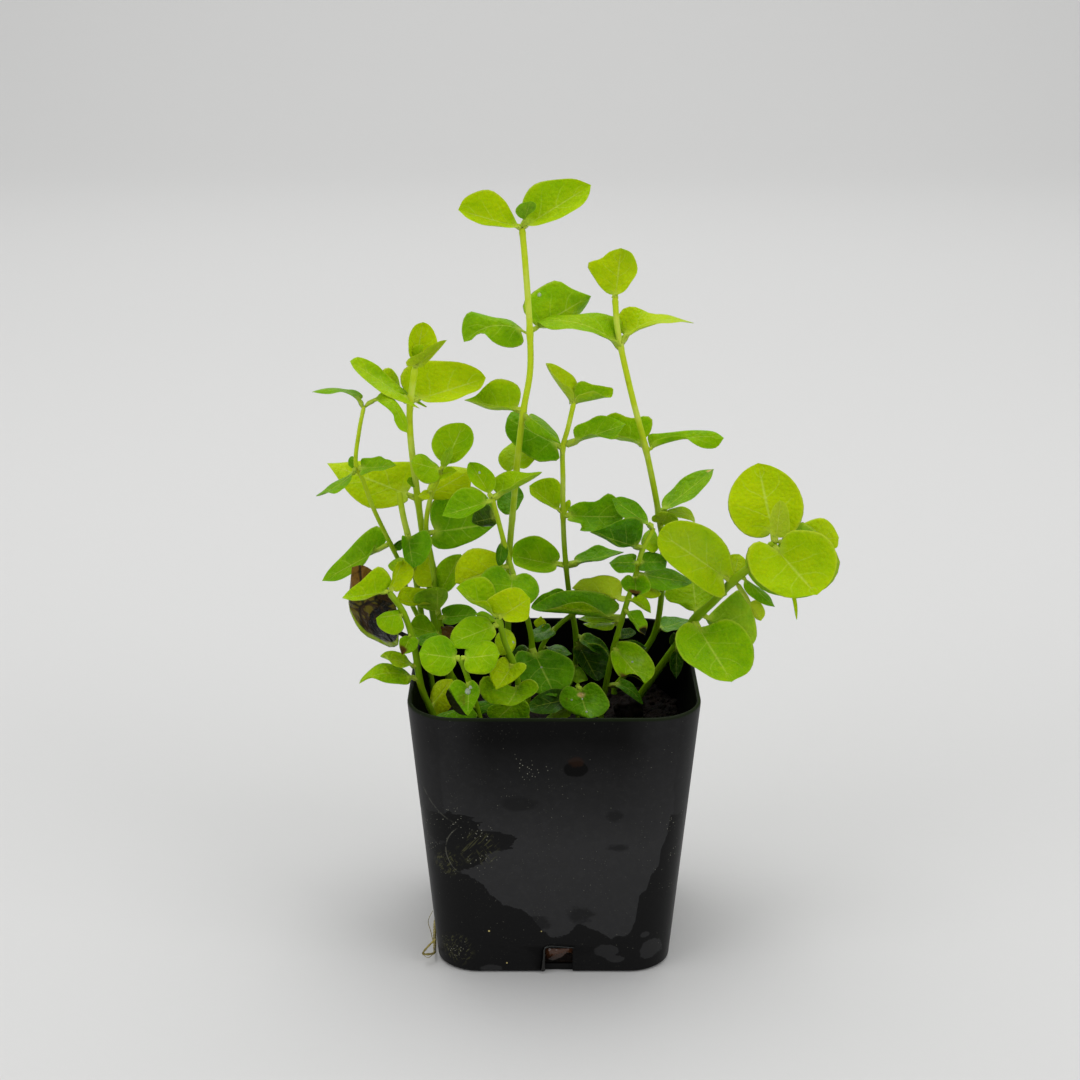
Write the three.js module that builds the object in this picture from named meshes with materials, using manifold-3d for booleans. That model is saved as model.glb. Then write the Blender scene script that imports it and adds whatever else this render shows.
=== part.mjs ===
// A golden creeping jenny growing in a square black nursery pot.
// Millimetres, +Z up. The origin is the middle of the pot's flat underside, and the pot's front faces -Y.
import * as THREE from 'three';
import { mergeVertices } from 'three/addons/utils/BufferGeometryUtils.js';
import Module from 'manifold-3d';

// Pot: a square tub that widens upwards, with rounded corners and a drain notch at the foot of each side
const POT_HEIGHT = 60;
const POT_RIM_WIDTH = 60.5;
const POT_BASE_WIDTH = 49.5;
const POT_BASE_CORNER = 9;
const POT_WALL = 0.9;
const POT_FLOOR = 1.2;
const CORNER_STEPS = 6;
const NOTCH_WIDTH = 5.8;
const NOTCH_HEIGHT = 5.8;
const NOTCH_DEPTH = 3;
const NOTCH_SHIFT = 1.1;
const OPEN_TOP = 1;

// Soil: fills the tub to well below the rim
const SOIL_LEVEL = 45;
const SOIL_BUMP = 0.9;
const SOIL_SIDES = 16;
const SOIL_ROWS = 8;
const SOIL_SQUARENESS = 5;
const SOIL_INSET = 0.5;
const SOIL_UNDER_ROWS = 3;
const SOIL_WAVES = { along: 0.31, shift: 1.3, across: 0.27, slantX: 0.6, slantY: 0.5, slantShare: 0.5 };

// Clearance between pieces, and how close corners are welded into one
const GAP = 0.3;
const WELD = 1e-4;

// Stems and leaf blades
const STEM_SIDES = 6;
const STEM_STEP = 9.5;
const STEM_SAMPLES = 200;
const STEM_END = 0.8;
const MERGE = 0.1;
const LEAST_SLANT = 0.5;
const STALK_END = 0.8;
const STALK_RADIUS = 0.35;
const BLADE_THICKNESS = 0.55;
const USUAL_STALK = 0.12;
const BLADE_STATIONS = [0.06, 0.22, 0.45, 0.72, 0.92];
const SMALL_BLADE_STATIONS = [0.12, 0.45, 0.84];
const WIDEST_STATION = 0.42;
const BASE_FULLNESS = 2.4;
const TIP_FULLNESS = 2;

// Root that has crept out of the notch on the left side of the pot. Its start and bends are [x, y, z], with x
// counted from the left side's outer face at the foot of the pot.
const ROOT_RADIUS = 0.4;
const ROOT_SIDES = 6;
const ROOT_STEPS = 12;
const ROOT_START = [0.6, 0, 3];
const ROOT_BENDS = [[-1, -2, 1.2], [-1.2, -9, 0.7], [-0.9, -16, 0.9], [-1, -19.6, 1.5], [-3.1, -20.6, 2],
  [-2.2, -20.8, 3.6], [-0.35, -20.4, 5.4]];

// The reference view, a frame of 1080 x 1080: places of leaves and stems are written as [column, row] in it.
// Each is turned into a point of the model by its depth, or by the real length and breadth of its leaf.
const EYE = new THREE.Vector3(-2.9, -425, 223);
const EYE_PITCH = THREE.MathUtils.degToRad(17.61);
const FOCAL = 2119;
const FRAME_MIDDLE = 540;
const NEAR = -1;
const FAR = 1;

const YOUNG = { color: 0xa8c814, roughness: 0.45, metalness: 0 };
const GREEN = { color: 0x6fa00a, roughness: 0.45, metalness: 0 };
const DARK = { color: 0x3f7405, roughness: 0.4, metalness: 0 };
const DEAD = { color: 0x3a2a10, roughness: 0.7, metalness: 0 };
const STEM = { color: 0x9cb53a, roughness: 0.5, metalness: 0 };
const BLACK_PLASTIC = { color: 0x141416, roughness: 0.5, metalness: 0 };
const WET_SOIL = { color: 0x1d130b, roughness: 0.9, metalness: 0 };
const ROOT = { color: 0xa07f45, roughness: 0.7, metalness: 0 };

// Each shoot lists its stem from the top down as [column, row, depth behind the middle of the pot], then
// root, the [x, y] where it enters the soil. Each leaf gives its foot on the stem, its tip, and its two
// widest edge points in the view, its real length and breadth, and which way (tip, first edge, second edge)
// lean from the foot's depth. push moves the blade away from the viewer. joined marks a small leaf that is
// one body with its stem.
const SHOOTS = [
  {
    name: 'tall',
    radii: [0.64, 0.7],
    stem: [[522, 228, 0], [525, 260, 0], [530, 335, 1], [530, 372, 2], [523, 413, 3], [518, 455, 4],
      [514, 500, 6], [509, 560, 8]],
    root: [-10, 12],
    leaves: [
      { foot: [517, 228], tip: [458, 210], edges: [[487, 190], [482, 225]], length: 13.2, breadth: 9,
        leans: [NEAR, FAR, NEAR], tone: YOUNG, lobe: 0.1 },
      { foot: [527, 224], tip: [591, 185], edges: [[546, 182], [571, 214]], length: 16.2, breadth: 10.5,
        leans: [FAR, FAR, NEAR], tone: YOUNG, push: 2 },
      { foot: [522, 227], tip: [529, 201], edges: [[516, 212], [538, 212]], length: 5.8, breadth: 4.6,
        leans: [NEAR, NEAR, NEAR], push: -1.5, joined: true },
      { foot: [535, 333], tip: [591, 296], edges: [[541, 288], [573, 320]], length: 14.6, breadth: 11,
        leans: [FAR, NEAR, FAR], stalk: 0.16, push: 4, lobe: 0.12 },
      { foot: [527, 334], tip: [464, 342], via: [495, 325], edges: [[482, 313], [503, 344]], length: 14.5,
        breadth: 9, leans: [FAR, FAR, NEAR] },
      { foot: [519, 410], tip: [466, 399], edges: [[495, 379], [492, 408]], length: 12.2, breadth: 9,
        leans: [FAR, FAR, NEAR], push: 4, lobe: 0.1 },
      { foot: [522, 413], tip: [559, 440], edges: [[546, 420], [528, 441]], length: 10.5, breadth: 8,
        leans: [NEAR, FAR, NEAR], push: -2, joined: true },
      { foot: [517, 472], tip: [516, 440], edges: [[499, 456], [535, 456]], length: 7.5, breadth: 8,
        leans: [FAR, FAR, FAR], push: 2.5, joined: true },
      { foot: [513, 518], tip: [512, 485], edges: [[499, 503], [525, 501]], length: 8, breadth: 6,
        leans: [FAR, FAR, NEAR], push: 2.5, tone: DARK, joined: true },
    ],
  },
  {
    name: 'right',
    radii: [0.62, 0.7],
    stem: [[615, 297, 4], [617, 325, 4], [621, 348, 4], [633, 400, 6], [646, 450, 9], [658, 510, 13],
      [663, 550, 17], [661, 600, 20], [655, 632, 22], [645, 650, 23]],
    root: [14, 24],
    leaves: [
      { foot: [615, 298], tip: [621, 248], edges: [[592, 275], [638, 270]], length: 10.5, breadth: 11.5,
        leans: [FAR, FAR, NEAR], tone: YOUNG, stalk: 0.05, lobe: 0.15 },
      { foot: [617, 346], tip: [537, 322], via: [582, 323], edges: [[582, 313], [588, 334]], length: 18,
        breadth: 9, leans: [NEAR, FAR, NEAR], tone: YOUNG, stalk: 0.05, push: -3, lobe: 0.08 },
      { foot: [624, 343], tip: [694, 323], via: [650, 321], edges: [[644, 308], [654, 331]], length: 15.5,
        breadth: 9, leans: [FAR, FAR, NEAR], lobe: 0.1 },
      { foot: [644, 446], tip: [600, 428], edges: [[626, 415], [621, 438]], length: 10.5, breadth: 8,
        leans: [FAR, FAR, NEAR], joined: true },
      { foot: [649, 446], tip: [724, 438], via: [685, 438], edges: [[702, 430], [704, 449]], length: 16.2,
        breadth: 8, leans: [NEAR, FAR, NEAR], stalk: 0.35 },
      { foot: [657, 506], tip: [714, 469], edges: [[683, 477], [693, 503]], length: 14, breadth: 9,
        leans: [NEAR, FAR, NEAR], stalk: 0.08 },
      { foot: [660, 526], tip: [668, 512], edges: [[650, 518], [678, 521]], length: 6, breadth: 6,
        leans: [NEAR, NEAR, NEAR], tone: DARK, joined: true },
      { foot: [660, 514], tip: [695, 522], via: [683, 513], edges: [[686, 508], [684, 519]], length: 9,
        breadth: 4.5, leans: [FAR, FAR, NEAR], joined: true },
      { foot: [658, 630], tip: [692, 620], edges: [[674, 614], [676, 629]], length: 9, breadth: 7,
        leans: [FAR, FAR, NEAR], tone: DARK, joined: true },
    ],
  },
  {
    name: 'left',
    radii: [0.68, 0.75],
    stem: [[415, 368, 2], [410, 406, 2], [410, 430, 2], [416, 485, 3], [422, 530, 5], [428, 570, 7],
      [434, 620, 9]],
    root: [-21, 10],
    leaves: [
      { foot: [415, 366], tip: [423, 322], edges: [[408, 344], [437, 348]], length: 9.6, breadth: 6.4,
        leans: [FAR, NEAR, NEAR], tone: YOUNG, joined: true },
      { foot: [413, 368], tip: [447, 340], edges: [[422, 347], [435, 360]], length: 10, breadth: 5.6,
        leans: [NEAR, NEAR, NEAR], push: -1.5, joined: true },
      { foot: [409, 402], tip: [350, 361], edges: [[384, 366], [377, 388]], length: 15.5, breadth: 9,
        leans: [NEAR, FAR, NEAR], tone: YOUNG, lobe: 0.15 },
      { foot: [415, 402], tip: [487, 380], edges: [[437, 361], [458, 405]], length: 16, breadth: 11.5,
        leans: [FAR, FAR, NEAR], tone: YOUNG, lobe: 0.15, push: 3.5 },
      { foot: [413, 500], tip: [327, 461], edges: [[388, 465], [360, 503]], length: 19.5, breadth: 11.5,
        leans: [FAR, FAR, NEAR], tone: YOUNG, push: 3 },
      { foot: [419, 500], tip: [472, 470], edges: [[438, 468], [462, 498]], length: 13, breadth: 10,
        leans: [FAR, FAR, FAR], tone: YOUNG },
      { foot: [415, 484], tip: [407, 481], edges: [[411, 477], [412, 487]], length: 2.4, breadth: 2,
        leans: [NEAR, NEAR, NEAR], joined: true },
      { foot: [413, 360], tip: [423, 345], edges: [[412, 350], [421, 354]], length: 3.4, breadth: 1.8,
        leans: [NEAR, NEAR, NEAR], push: -2, joined: true },
    ],
  },
  {
    name: 'bent',
    radii: [0.5, 0.68],
    stem: [[364, 406, -2], [359, 432, -2], [356, 465, -2], [363, 480, -1], [372, 505, 1], [391, 545, 4],
      [401, 566, 7], [410, 600, 12]],
    root: [-20, 19],
    leaves: [
      { foot: [363, 402], tip: [312, 392], via: [343, 390], edges: [[340, 386], [338, 394]], length: 11.2,
        breadth: 5.5, leans: [FAR, FAR, NEAR], joined: true },
      { foot: [366, 400], tip: [407, 433], via: [388, 401], edges: [[400, 406], [388, 413]], length: 11.5,
        breadth: 4.6, leans: [NEAR, FAR, NEAR], stalk: 0.2 },
      { foot: [366, 403], tip: [399, 371], edges: [[384, 370], [396, 386]], length: 10.5, breadth: 5,
        leans: [FAR, FAR, FAR], stalk: 0.45, push: 4, joined: true },
      { foot: [358, 468], tip: [406, 464], edges: [[382, 456], [380, 473]], length: 10.5, breadth: 6,
        leans: [NEAR, FAR, NEAR], joined: true },
      { foot: [358, 467], tip: [316, 496], via: [340, 483], edges: [[333, 480], [342, 495]], length: 11.5,
        breadth: 6, leans: [NEAR, FAR, NEAR], joined: true },
      { foot: [356, 471], tip: [352, 456], edges: [[348, 464], [357, 463]], length: 3.6, breadth: 2.4,
        leans: [FAR, FAR, FAR], joined: true },
      { foot: [391, 536], tip: [322, 581], edges: [[352, 541], [366, 564]], length: 18, breadth: 9,
        leans: [FAR, FAR, NEAR], lobe: 0.1 },
      { foot: [394, 549], tip: [402, 540], edges: [[395, 543], [402, 549]], length: 2.6, breadth: 1.8,
        leans: [NEAR, NEAR, NEAR], tone: DARK, joined: true },
    ],
  },
  {
    name: 'short',
    radii: [0.65, 0.68],
    stem: [[399, 492, -2], [403, 515, -2], [409, 540, 0], [416, 580, 6]],
    root: [-26, 11],
    leaves: [
      { foot: [411, 533], tip: [413, 568], edges: [[402, 548], [430, 545]], length: 7.6, breadth: 6.2,
        leans: [NEAR, NEAR, NEAR], tone: DARK, push: -2, joined: true },
      { foot: [413, 562], tip: [388, 566], edges: [[399, 558], [401, 575]], length: 6, breadth: 5,
        leans: [NEAR, FAR, NEAR], tone: DARK, joined: true },
    ],
  },
  {
    name: 'side',
    radii: [0.5, 0.62],
    stem: [[442, 470, -2], [436, 483, -2], [430, 500, -1], [426, 528, 0], [432, 560, 2], [438, 610, 3]],
    root: [-20, 3],
    leaves: [
      { foot: [443, 468], tip: [464, 423], edges: [[433, 440], [473, 444]], length: 10, breadth: 8.6,
        leans: [FAR, NEAR, NEAR], push: 1.5 },
      { foot: [443, 468], tip: [451, 447], edges: [[442, 456], [452, 458]], length: 4.6, breadth: 2.6,
        leans: [NEAR, NEAR, NEAR], push: -1.5, joined: true },
      { foot: [440, 476], tip: [411, 464], edges: [[427, 453], [426, 483]], length: 7.5, breadth: 6.4,
        leans: [NEAR, FAR, NEAR], joined: true },
      { foot: [440, 474], tip: [457, 472], edges: [[448, 466], [448, 480]], length: 4, breadth: 3.6,
        leans: [NEAR, NEAR, NEAR], joined: true },
      { foot: [435, 486], tip: [417, 482], edges: [[428, 478], [424, 490]], length: 4, breadth: 3,
        leans: [NEAR, FAR, NEAR], joined: true },
      { foot: [427, 533], tip: [498, 523], edges: [[462, 512], [458, 549]], length: 15.5, breadth: 9.5,
        leans: [FAR, FAR, NEAR], tone: DARK, stalk: 0.16, push: 1 },
      { foot: [436, 592], tip: [427, 556], edges: [[418, 572], [437, 570]], length: 7.6, breadth: 4.4,
        leans: [NEAR, NEAR, NEAR], tone: YOUNG, joined: true },
      { foot: [438, 598], tip: [464, 550], edges: [[436, 556], [466, 580]], length: 12, breadth: 9,
        leans: [NEAR, FAR, NEAR], tone: DARK, push: -2, joined: true },
      { foot: [438, 604], tip: [396, 600], edges: [[412, 587], [407, 606]], length: 9, breadth: 5.5,
        leans: [NEAR, FAR, NEAR], push: -1, joined: true },
      { foot: [438, 612], tip: [438, 587], edges: [[413, 600], [448, 600]], length: 8, breadth: 8.4,
        leans: [NEAR, NEAR, NEAR], tone: DARK, joined: true },
      { foot: [438, 634], tip: [409, 626], edges: [[424, 614], [419, 638]], length: 6.6, breadth: 6,
        leans: [NEAR, FAR, NEAR], tone: DARK, joined: true },
      { foot: [438, 620], tip: [478, 614], edges: [[458, 604], [454, 625]], length: 9.6, breadth: 5.5,
        leans: [NEAR, FAR, NEAR], tone: DARK, joined: true },
      { foot: [438, 628], tip: [457, 631], edges: [[447, 626], [447, 639]], length: 5, breadth: 3,
        leans: [NEAR, FAR, NEAR], tone: DARK, joined: true },
    ],
  },
  {
    name: 'inner',
    radii: [0.5, 0.65],
    stem: [[492, 498, -6], [500, 527, -5], [506, 550, -5], [513, 574, -4], [521, 600, 0], [529, 625, 4],
      [532, 648, 6]],
    root: [-6, 5],
    leaves: [
      { foot: [490, 495], tip: [470, 462], edges: [[468, 483], [491, 474]], length: 8.4, breadth: 5.6,
        leans: [NEAR, NEAR, NEAR], joined: true },
      { foot: [494, 493], tip: [542, 472], edges: [[516, 474], [519, 488]], length: 11.6, breadth: 5.6,
        leans: [NEAR, FAR, NEAR], joined: true },
      { foot: [489, 502], tip: [442, 516], edges: [[462, 487], [474, 517]], length: 11.5, breadth: 7.4,
        leans: [NEAR, FAR, NEAR], push: -1 },
      { foot: [498, 516], tip: [472, 522], edges: [[481, 504], [490, 527]], length: 6.5, breadth: 5.5,
        leans: [FAR, FAR, FAR], tone: DARK, push: 1.5, joined: true },
      { foot: [503, 540], tip: [499, 566], edges: [[496, 553], [508, 555]], length: 5.6, breadth: 3,
        leans: [FAR, FAR, FAR], tone: DARK, joined: true },
      { foot: [509, 566], tip: [455, 583], edges: [[478, 550], [487, 593]], length: 12.5, breadth: 9.5,
        leans: [FAR, FAR, FAR], tone: YOUNG, push: 1.5, joined: true },
      { foot: [514, 574], tip: [509, 606], edges: [[480, 588], [539, 588]], length: 9, breadth: 12.6,
        leans: [NEAR, FAR, FAR], lobe: 0.2 },
      { foot: [531, 649], tip: [557, 695], edges: [[573, 661], [515, 680]], length: 12.5, breadth: 13,
        leans: [NEAR, NEAR, NEAR], tone: DARK, lobe: 0.1, push: -2 },
      { foot: [531, 649], tip: [511, 659], edges: [[520, 646], [521, 665]], length: 5.6, breadth: 4,
        leans: [FAR, FAR, NEAR], tone: DARK, push: 2, joined: true },
    ],
  },
  {
    name: 'centre',
    radii: [0.52, 0.62],
    stem: [[574, 402, 5], [568, 428, 5], [563, 447, 6], [563, 480, 7], [563, 512, 8], [564, 540, 9],
      [566, 566, 10], [570, 600, 12], [576, 637, 15], [575, 665, 17]],
    root: [3, 20],
    leaves: [
      { foot: [575, 397], tip: [546, 363], edges: [[566, 372], [560, 388]], length: 10, breadth: 7,
        leans: [NEAR, FAR, NEAR], lobe: 0.15, joined: true },
      { foot: [577, 397], tip: [613, 392], edges: [[592, 384], [594, 398]], length: 9, breadth: 6,
        leans: [FAR, FAR, NEAR], joined: true },
      { foot: [561, 448], tip: [505, 422], edges: [[541, 414], [530, 459]], length: 13.5, breadth: 10.4,
        leans: [NEAR, FAR, NEAR], tone: DARK, push: 5 },
      { foot: [566, 446], tip: [626, 424], edges: [[598, 415], [602, 439]], length: 14, breadth: 8,
        leans: [NEAR, FAR, NEAR], stalk: 0.2, joined: true },
      { foot: [560, 513], tip: [529, 486], edges: [[554, 479], [539, 504]], length: 9.2, breadth: 6.6,
        leans: [NEAR, FAR, NEAR], joined: true },
      { foot: [564, 512], tip: [570, 500], edges: [[565, 503], [570, 508]], length: 2.6, breadth: 1.4,
        leans: [FAR, FAR, FAR], joined: true },
      { foot: [566, 515], tip: [624, 514], edges: [[606, 493], [592, 531]], length: 13.5, breadth: 9.4,
        leans: [NEAR, FAR, NEAR], tone: DARK },
      { foot: [561, 567], tip: [512, 555], edges: [[533, 537], [534, 572]], length: 11.5, breadth: 8.6,
        leans: [NEAR, FAR, NEAR], tone: DARK, stalk: 0.18 },
      { foot: [570, 565], tip: [624, 552], edges: [[597, 546], [599, 563]], length: 12, breadth: 7,
        leans: [FAR, FAR, NEAR], tone: DARK, stalk: 0.18, joined: true },
      { foot: [569, 598], tip: [531, 607], edges: [[552, 590], [549, 611]], length: 9.6, breadth: 7,
        leans: [NEAR, FAR, NEAR], tone: DARK, joined: true },
      { foot: [579, 640], tip: [598, 681], edges: [[577, 662], [609, 655]], length: 10, breadth: 7.6,
        leans: [NEAR, NEAR, NEAR], tone: DARK, joined: true },
      { foot: [577, 636], tip: [609, 655], edges: [[597, 637], [590, 650]], length: 9, breadth: 5,
        leans: [FAR, FAR, NEAR], tone: DARK, joined: true },
      { foot: [575, 664], tip: [585, 681], edges: [[583, 670], [570, 677]], length: 5, breadth: 4,
        leans: [NEAR, NEAR, NEAR], joined: true },
    ],
  },
  {
    name: 'front',
    radii: [0.6, 0.72],
    stem: [[654, 528, 1], [642, 551, 0], [635, 578, 0], [628, 599, 0], [621, 622, 1], [614, 647, 3],
      [606, 685, 6]],
    root: [10.5, 8],
    leaves: [
      { foot: [653, 523], tip: [612, 499], edges: [[634, 496], [632, 522]], length: 10.6, breadth: 7.5,
        leans: [FAR, FAR, NEAR], push: 1, joined: true },
      { foot: [643, 549], tip: [582, 531], edges: [[620, 518], [608, 538]], length: 13.6, breadth: 8.6,
        leans: [NEAR, FAR, NEAR], tone: DARK },
      { foot: [639, 562], tip: [609, 564], edges: [[626, 552], [624, 574]], length: 7.5, breadth: 7,
        leans: [NEAR, FAR, NEAR], tone: DARK, joined: true },
      { foot: [638, 574], tip: [693, 582], edges: [[665, 570], [663, 589]], length: 12, breadth: 7,
        leans: [FAR, FAR, NEAR], tone: DARK, push: 5 },
      { foot: [635, 578], tip: [634, 597], edges: [[620, 586], [650, 586]], length: 6.5, breadth: 7,
        leans: [NEAR, NEAR, NEAR], tone: DARK, joined: true },
      { foot: [628, 600], tip: [572, 584], edges: [[602, 574], [602, 601]], length: 13, breadth: 8.4,
        leans: [FAR, FAR, FAR], tone: YOUNG, push: 4, joined: true },
      { foot: [621, 618], tip: [531, 608], edges: [[575, 590], [575, 605]], length: 19, breadth: 6.4,
        leans: [NEAR, FAR, NEAR], tone: DARK, joined: true },
      { foot: [619, 620], tip: [580, 619], edges: [[600, 611], [600, 624]], length: 9, breadth: 5,
        leans: [NEAR, FAR, NEAR], tone: DARK, push: 3, joined: true },
      { foot: [619, 624], tip: [583, 624], edges: [[600, 622], [602, 634]], length: 9, breadth: 5,
        leans: [FAR, FAR, NEAR], tone: DARK, push: 4, joined: true },
      { foot: [629, 598], tip: [651, 613], edges: [[643, 600], [639, 608]], length: 5.4, breadth: 2.8,
        leans: [NEAR, FAR, NEAR], joined: true },
      { foot: [625, 609], tip: [645, 635], edges: [[641, 615], [631, 623]], length: 8, breadth: 4.6,
        leans: [NEAR, FAR, NEAR], joined: true },
      { foot: [612, 648], tip: [641, 683], edges: [[652, 655], [614, 673]], length: 11.5, breadth: 9.6,
        leans: [NEAR, NEAR, NEAR] },
      { foot: [607, 688], tip: [643, 704], via: [625, 687], edges: [[630, 682], [624, 692]], length: 9,
        breadth: 4, leans: [NEAR, FAR, NEAR], stalk: 0.3, joined: true },
      { foot: [640, 563], tip: [667, 562], edges: [[654, 552], [654, 571]], length: 6.5, breadth: 4.6,
        leans: [FAR, FAR, NEAR], tone: DARK, joined: true },
      { foot: [633, 582], tip: [661, 594], edges: [[652, 586], [646, 598]], length: 7, breadth: 4,
        leans: [FAR, FAR, FAR], tone: YOUNG, joined: true },
      { foot: [617, 636], tip: [636, 633], edges: [[626, 628], [626, 639]], length: 5, breadth: 3.4,
        leans: [FAR, FAR, NEAR], tone: DARK, joined: true },
      { foot: [642, 551], tip: [653, 527], edges: [[641, 540], [659, 545]], length: 6.4, breadth: 4,
        leans: [FAR, FAR, NEAR], push: 1.5, joined: true },
      { foot: [613, 645], tip: [647, 648], edges: [[631, 640], [631, 651]], length: 7.6, breadth: 3,
        leans: [FAR, FAR, NEAR], tone: DARK, push: 2, joined: true },
    ],
  },
  {
    name: 'outer',
    radii: [0.88, 0.85],
    stem: [[775, 543, -1], [751, 566, 1], [732, 582, 3], [713, 602, 6], [694, 620, 8], [675, 647, 11],
      [656, 673, 14]],
    root: [19, 17],
    leaves: [
      { foot: [773, 541], tip: [758, 463], edges: [[728, 505], [803, 503]], length: 16.5, breadth: 15.6,
        leans: [FAR, FAR, FAR], tone: YOUNG, push: 2.5, lobe: 0.08 },
      { foot: [775, 546], tip: [817, 592], edges: [[834, 550], [753, 582]], length: 14.6, breadth: 18,
        leans: [NEAR, NEAR, NEAR], tone: YOUNG, push: -2, lobe: 0.25 },
      { foot: [776, 541], tip: [780, 500], edges: [[771, 519], [788, 517]], length: 9, breadth: 4,
        leans: [NEAR, NEAR, NEAR], tone: YOUNG, push: -2.5, joined: true },
      { foot: [777, 545], tip: [836, 526], edges: [[810, 519], [834, 548]], length: 14.5, breadth: 8,
        leans: [FAR, FAR, FAR], tone: YOUNG, stalk: 0.35, push: 4, joined: true },
      { foot: [764, 554], tip: [795, 599], edges: [[747, 580], [809, 562]], length: 12.5, breadth: 13.5,
        leans: [FAR, FAR, FAR], push: 5, joined: true },
      { foot: [767, 551], tip: [797, 620], via: [792, 585], edges: [[788, 586], [790, 586]], length: 15,
        breadth: 1, leans: [FAR, FAR, FAR], push: 2, joined: true },
      { foot: [741, 575], tip: [775, 607], edges: [[766, 589], [745, 599]], length: 10.5, breadth: 6.6,
        leans: [FAR, FAR, NEAR], tone: DARK, push: 2, joined: true },
      { foot: [734, 592], tip: [661, 530], edges: [[722, 545], [692, 590]], length: 19, breadth: 12.6,
        leans: [NEAR, NEAR, NEAR], lobe: 0.1, push: -5 },
      { foot: [696, 622], tip: [733, 680], edges: [[751, 640], [684, 662]], length: 15, breadth: 15.4,
        leans: [NEAR, NEAR, NEAR], push: -6.5, lobe: 0.12 },
      { foot: [701, 615], tip: [752, 646], edges: [[749, 603], [712, 640]], length: 13, breadth: 10.5,
        leans: [FAR, FAR, FAR], push: 5 },
      { foot: [735, 580], tip: [761, 621], edges: [[765, 608], [752, 616]], length: 10.5, breadth: 3,
        leans: [FAR, FAR, FAR], stalk: 0.55, push: 4, joined: true },
      { foot: [697, 616], tip: [692, 573], edges: [[665, 594], [719, 594]], length: 10.2, breadth: 11.6,
        leans: [FAR, FAR, FAR], push: 2, lobe: 0.1, joined: true },
      { foot: [732, 581], tip: [739, 554], edges: [[724, 567], [747, 564]], length: 6.4, breadth: 5,
        leans: [FAR, FAR, FAR], push: 1.5, joined: true },
      { foot: [676, 644], tip: [676, 679], edges: [[670, 660], [683, 660]], length: 8, breadth: 3.6,
        leans: [NEAR, NEAR, NEAR], tone: DARK, push: -1, joined: true },
      { foot: [676, 646], tip: [674, 632], edges: [[669, 640], [677, 640]], length: 3.6, breadth: 1.8,
        leans: [NEAR, NEAR, NEAR], tone: DARK, joined: true },
    ],
  },
  {
    name: 'rim',
    radii: [0.65, 0.75],
    stem: [[389, 592, -10], [402, 610, -10], [412, 636, -11], [417, 663, -12], [421, 686, -12],
      [430, 708, -12]],
    root: [-22, -11],
    leaves: [
      { foot: [387, 590], tip: [342, 598], edges: [[373, 569], [362, 600]], length: 10.2, breadth: 7,
        leans: [NEAR, FAR, NEAR], tone: YOUNG },
      { foot: [390, 592], tip: [403, 560], edges: [[391, 573], [413, 580]], length: 7.6, breadth: 5,
        leans: [FAR, NEAR, NEAR], tone: YOUNG, joined: true },
      { foot: [405, 614], tip: [376, 621], edges: [[393, 609], [392, 634]], length: 6.6, breadth: 5.4,
        leans: [NEAR, FAR, NEAR], tone: YOUNG, joined: true },
      { foot: [411, 634], tip: [402, 655], edges: [[397, 641], [418, 648]], length: 5.6, breadth: 5,
        leans: [NEAR, NEAR, NEAR], joined: true },
      { foot: [414, 642], tip: [441, 636], edges: [[430, 631], [428, 645]], length: 6.2, breadth: 4,
        leans: [FAR, FAR, NEAR], joined: true },
      { foot: [415, 666], tip: [380, 653], edges: [[400, 652], [396, 667]], length: 8.4, breadth: 5.4,
        leans: [NEAR, FAR, NEAR], joined: true },
      { foot: [418, 681], tip: [359, 684], via: [388, 673], edges: [[390, 662], [394, 686]], length: 13.4,
        breadth: 6.6, leans: [NEAR, FAR, NEAR] },
      { foot: [430, 708], tip: [452, 679], edges: [[432, 690], [456, 703]], length: 9, breadth: 5.4,
        leans: [FAR, FAR, NEAR], joined: true },
      { foot: [411, 640], tip: [352, 567], via: [368, 608], edges: [[352, 622], [395, 590]], length: 20,
        breadth: 13, leans: [FAR, FAR, FAR], tone: DEAD, push: 4, lobe: 0.1 },
    ],
  },
  {
    name: 'low',
    radii: [0.58, 0.62],
    stem: [[460, 657, -21], [467, 676, -21], [474, 698, -19]],
    root: [-13, -17],
    leaves: [
      { foot: [458, 659], tip: [420, 655], edges: [[439, 636], [439, 677]], length: 8.4, breadth: 8.6,
        leans: [NEAR, FAR, NEAR], tone: YOUNG },
      { foot: [463, 658], tip: [500, 655], edges: [[481, 640], [481, 676]], length: 8.2, breadth: 7.8,
        leans: [NEAR, FAR, NEAR], tone: YOUNG },
      { foot: [469, 681], tip: [467, 714], edges: [[448, 692], [479, 694]], length: 8.2, breadth: 7,
        leans: [NEAR, NEAR, NEAR], tone: YOUNG },
      { foot: [472, 706], tip: [434, 716], edges: [[455, 706], [455, 722]], length: 8.6, breadth: 5,
        leans: [FAR, FAR, NEAR], tone: DARK, joined: true },
    ],
  },
  {
    name: 'middle',
    radii: [0.68, 0.68],
    stem: [[499, 618, -16], [504, 640, -16], [513, 662, -15], [520, 690, -13]],
    root: [-4, -12],
    leaves: [
      { foot: [499, 617], tip: [530, 598], edges: [[500, 590], [520, 621]], length: 9.2, breadth: 8,
        leans: [NEAR, FAR, NEAR], tone: YOUNG },
      { foot: [491, 602], tip: [457, 588], edges: [[480, 577], [470, 601]], length: 8.2, breadth: 6,
        leans: [NEAR, FAR, NEAR], joined: true },
      { foot: [496, 624], tip: [451, 641], edges: [[467, 619], [481, 650]], length: 10.6, breadth: 7.6,
        leans: [FAR, FAR, NEAR] },
      { foot: [511, 657], tip: [504, 628], edges: [[492, 641], [516, 642]], length: 6.4, breadth: 5.2,
        leans: [FAR, FAR, FAR], push: 2, joined: true },
      { foot: [512, 664], tip: [497, 690], edges: [[489, 668], [526, 671]], length: 7.2, breadth: 7.6,
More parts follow.
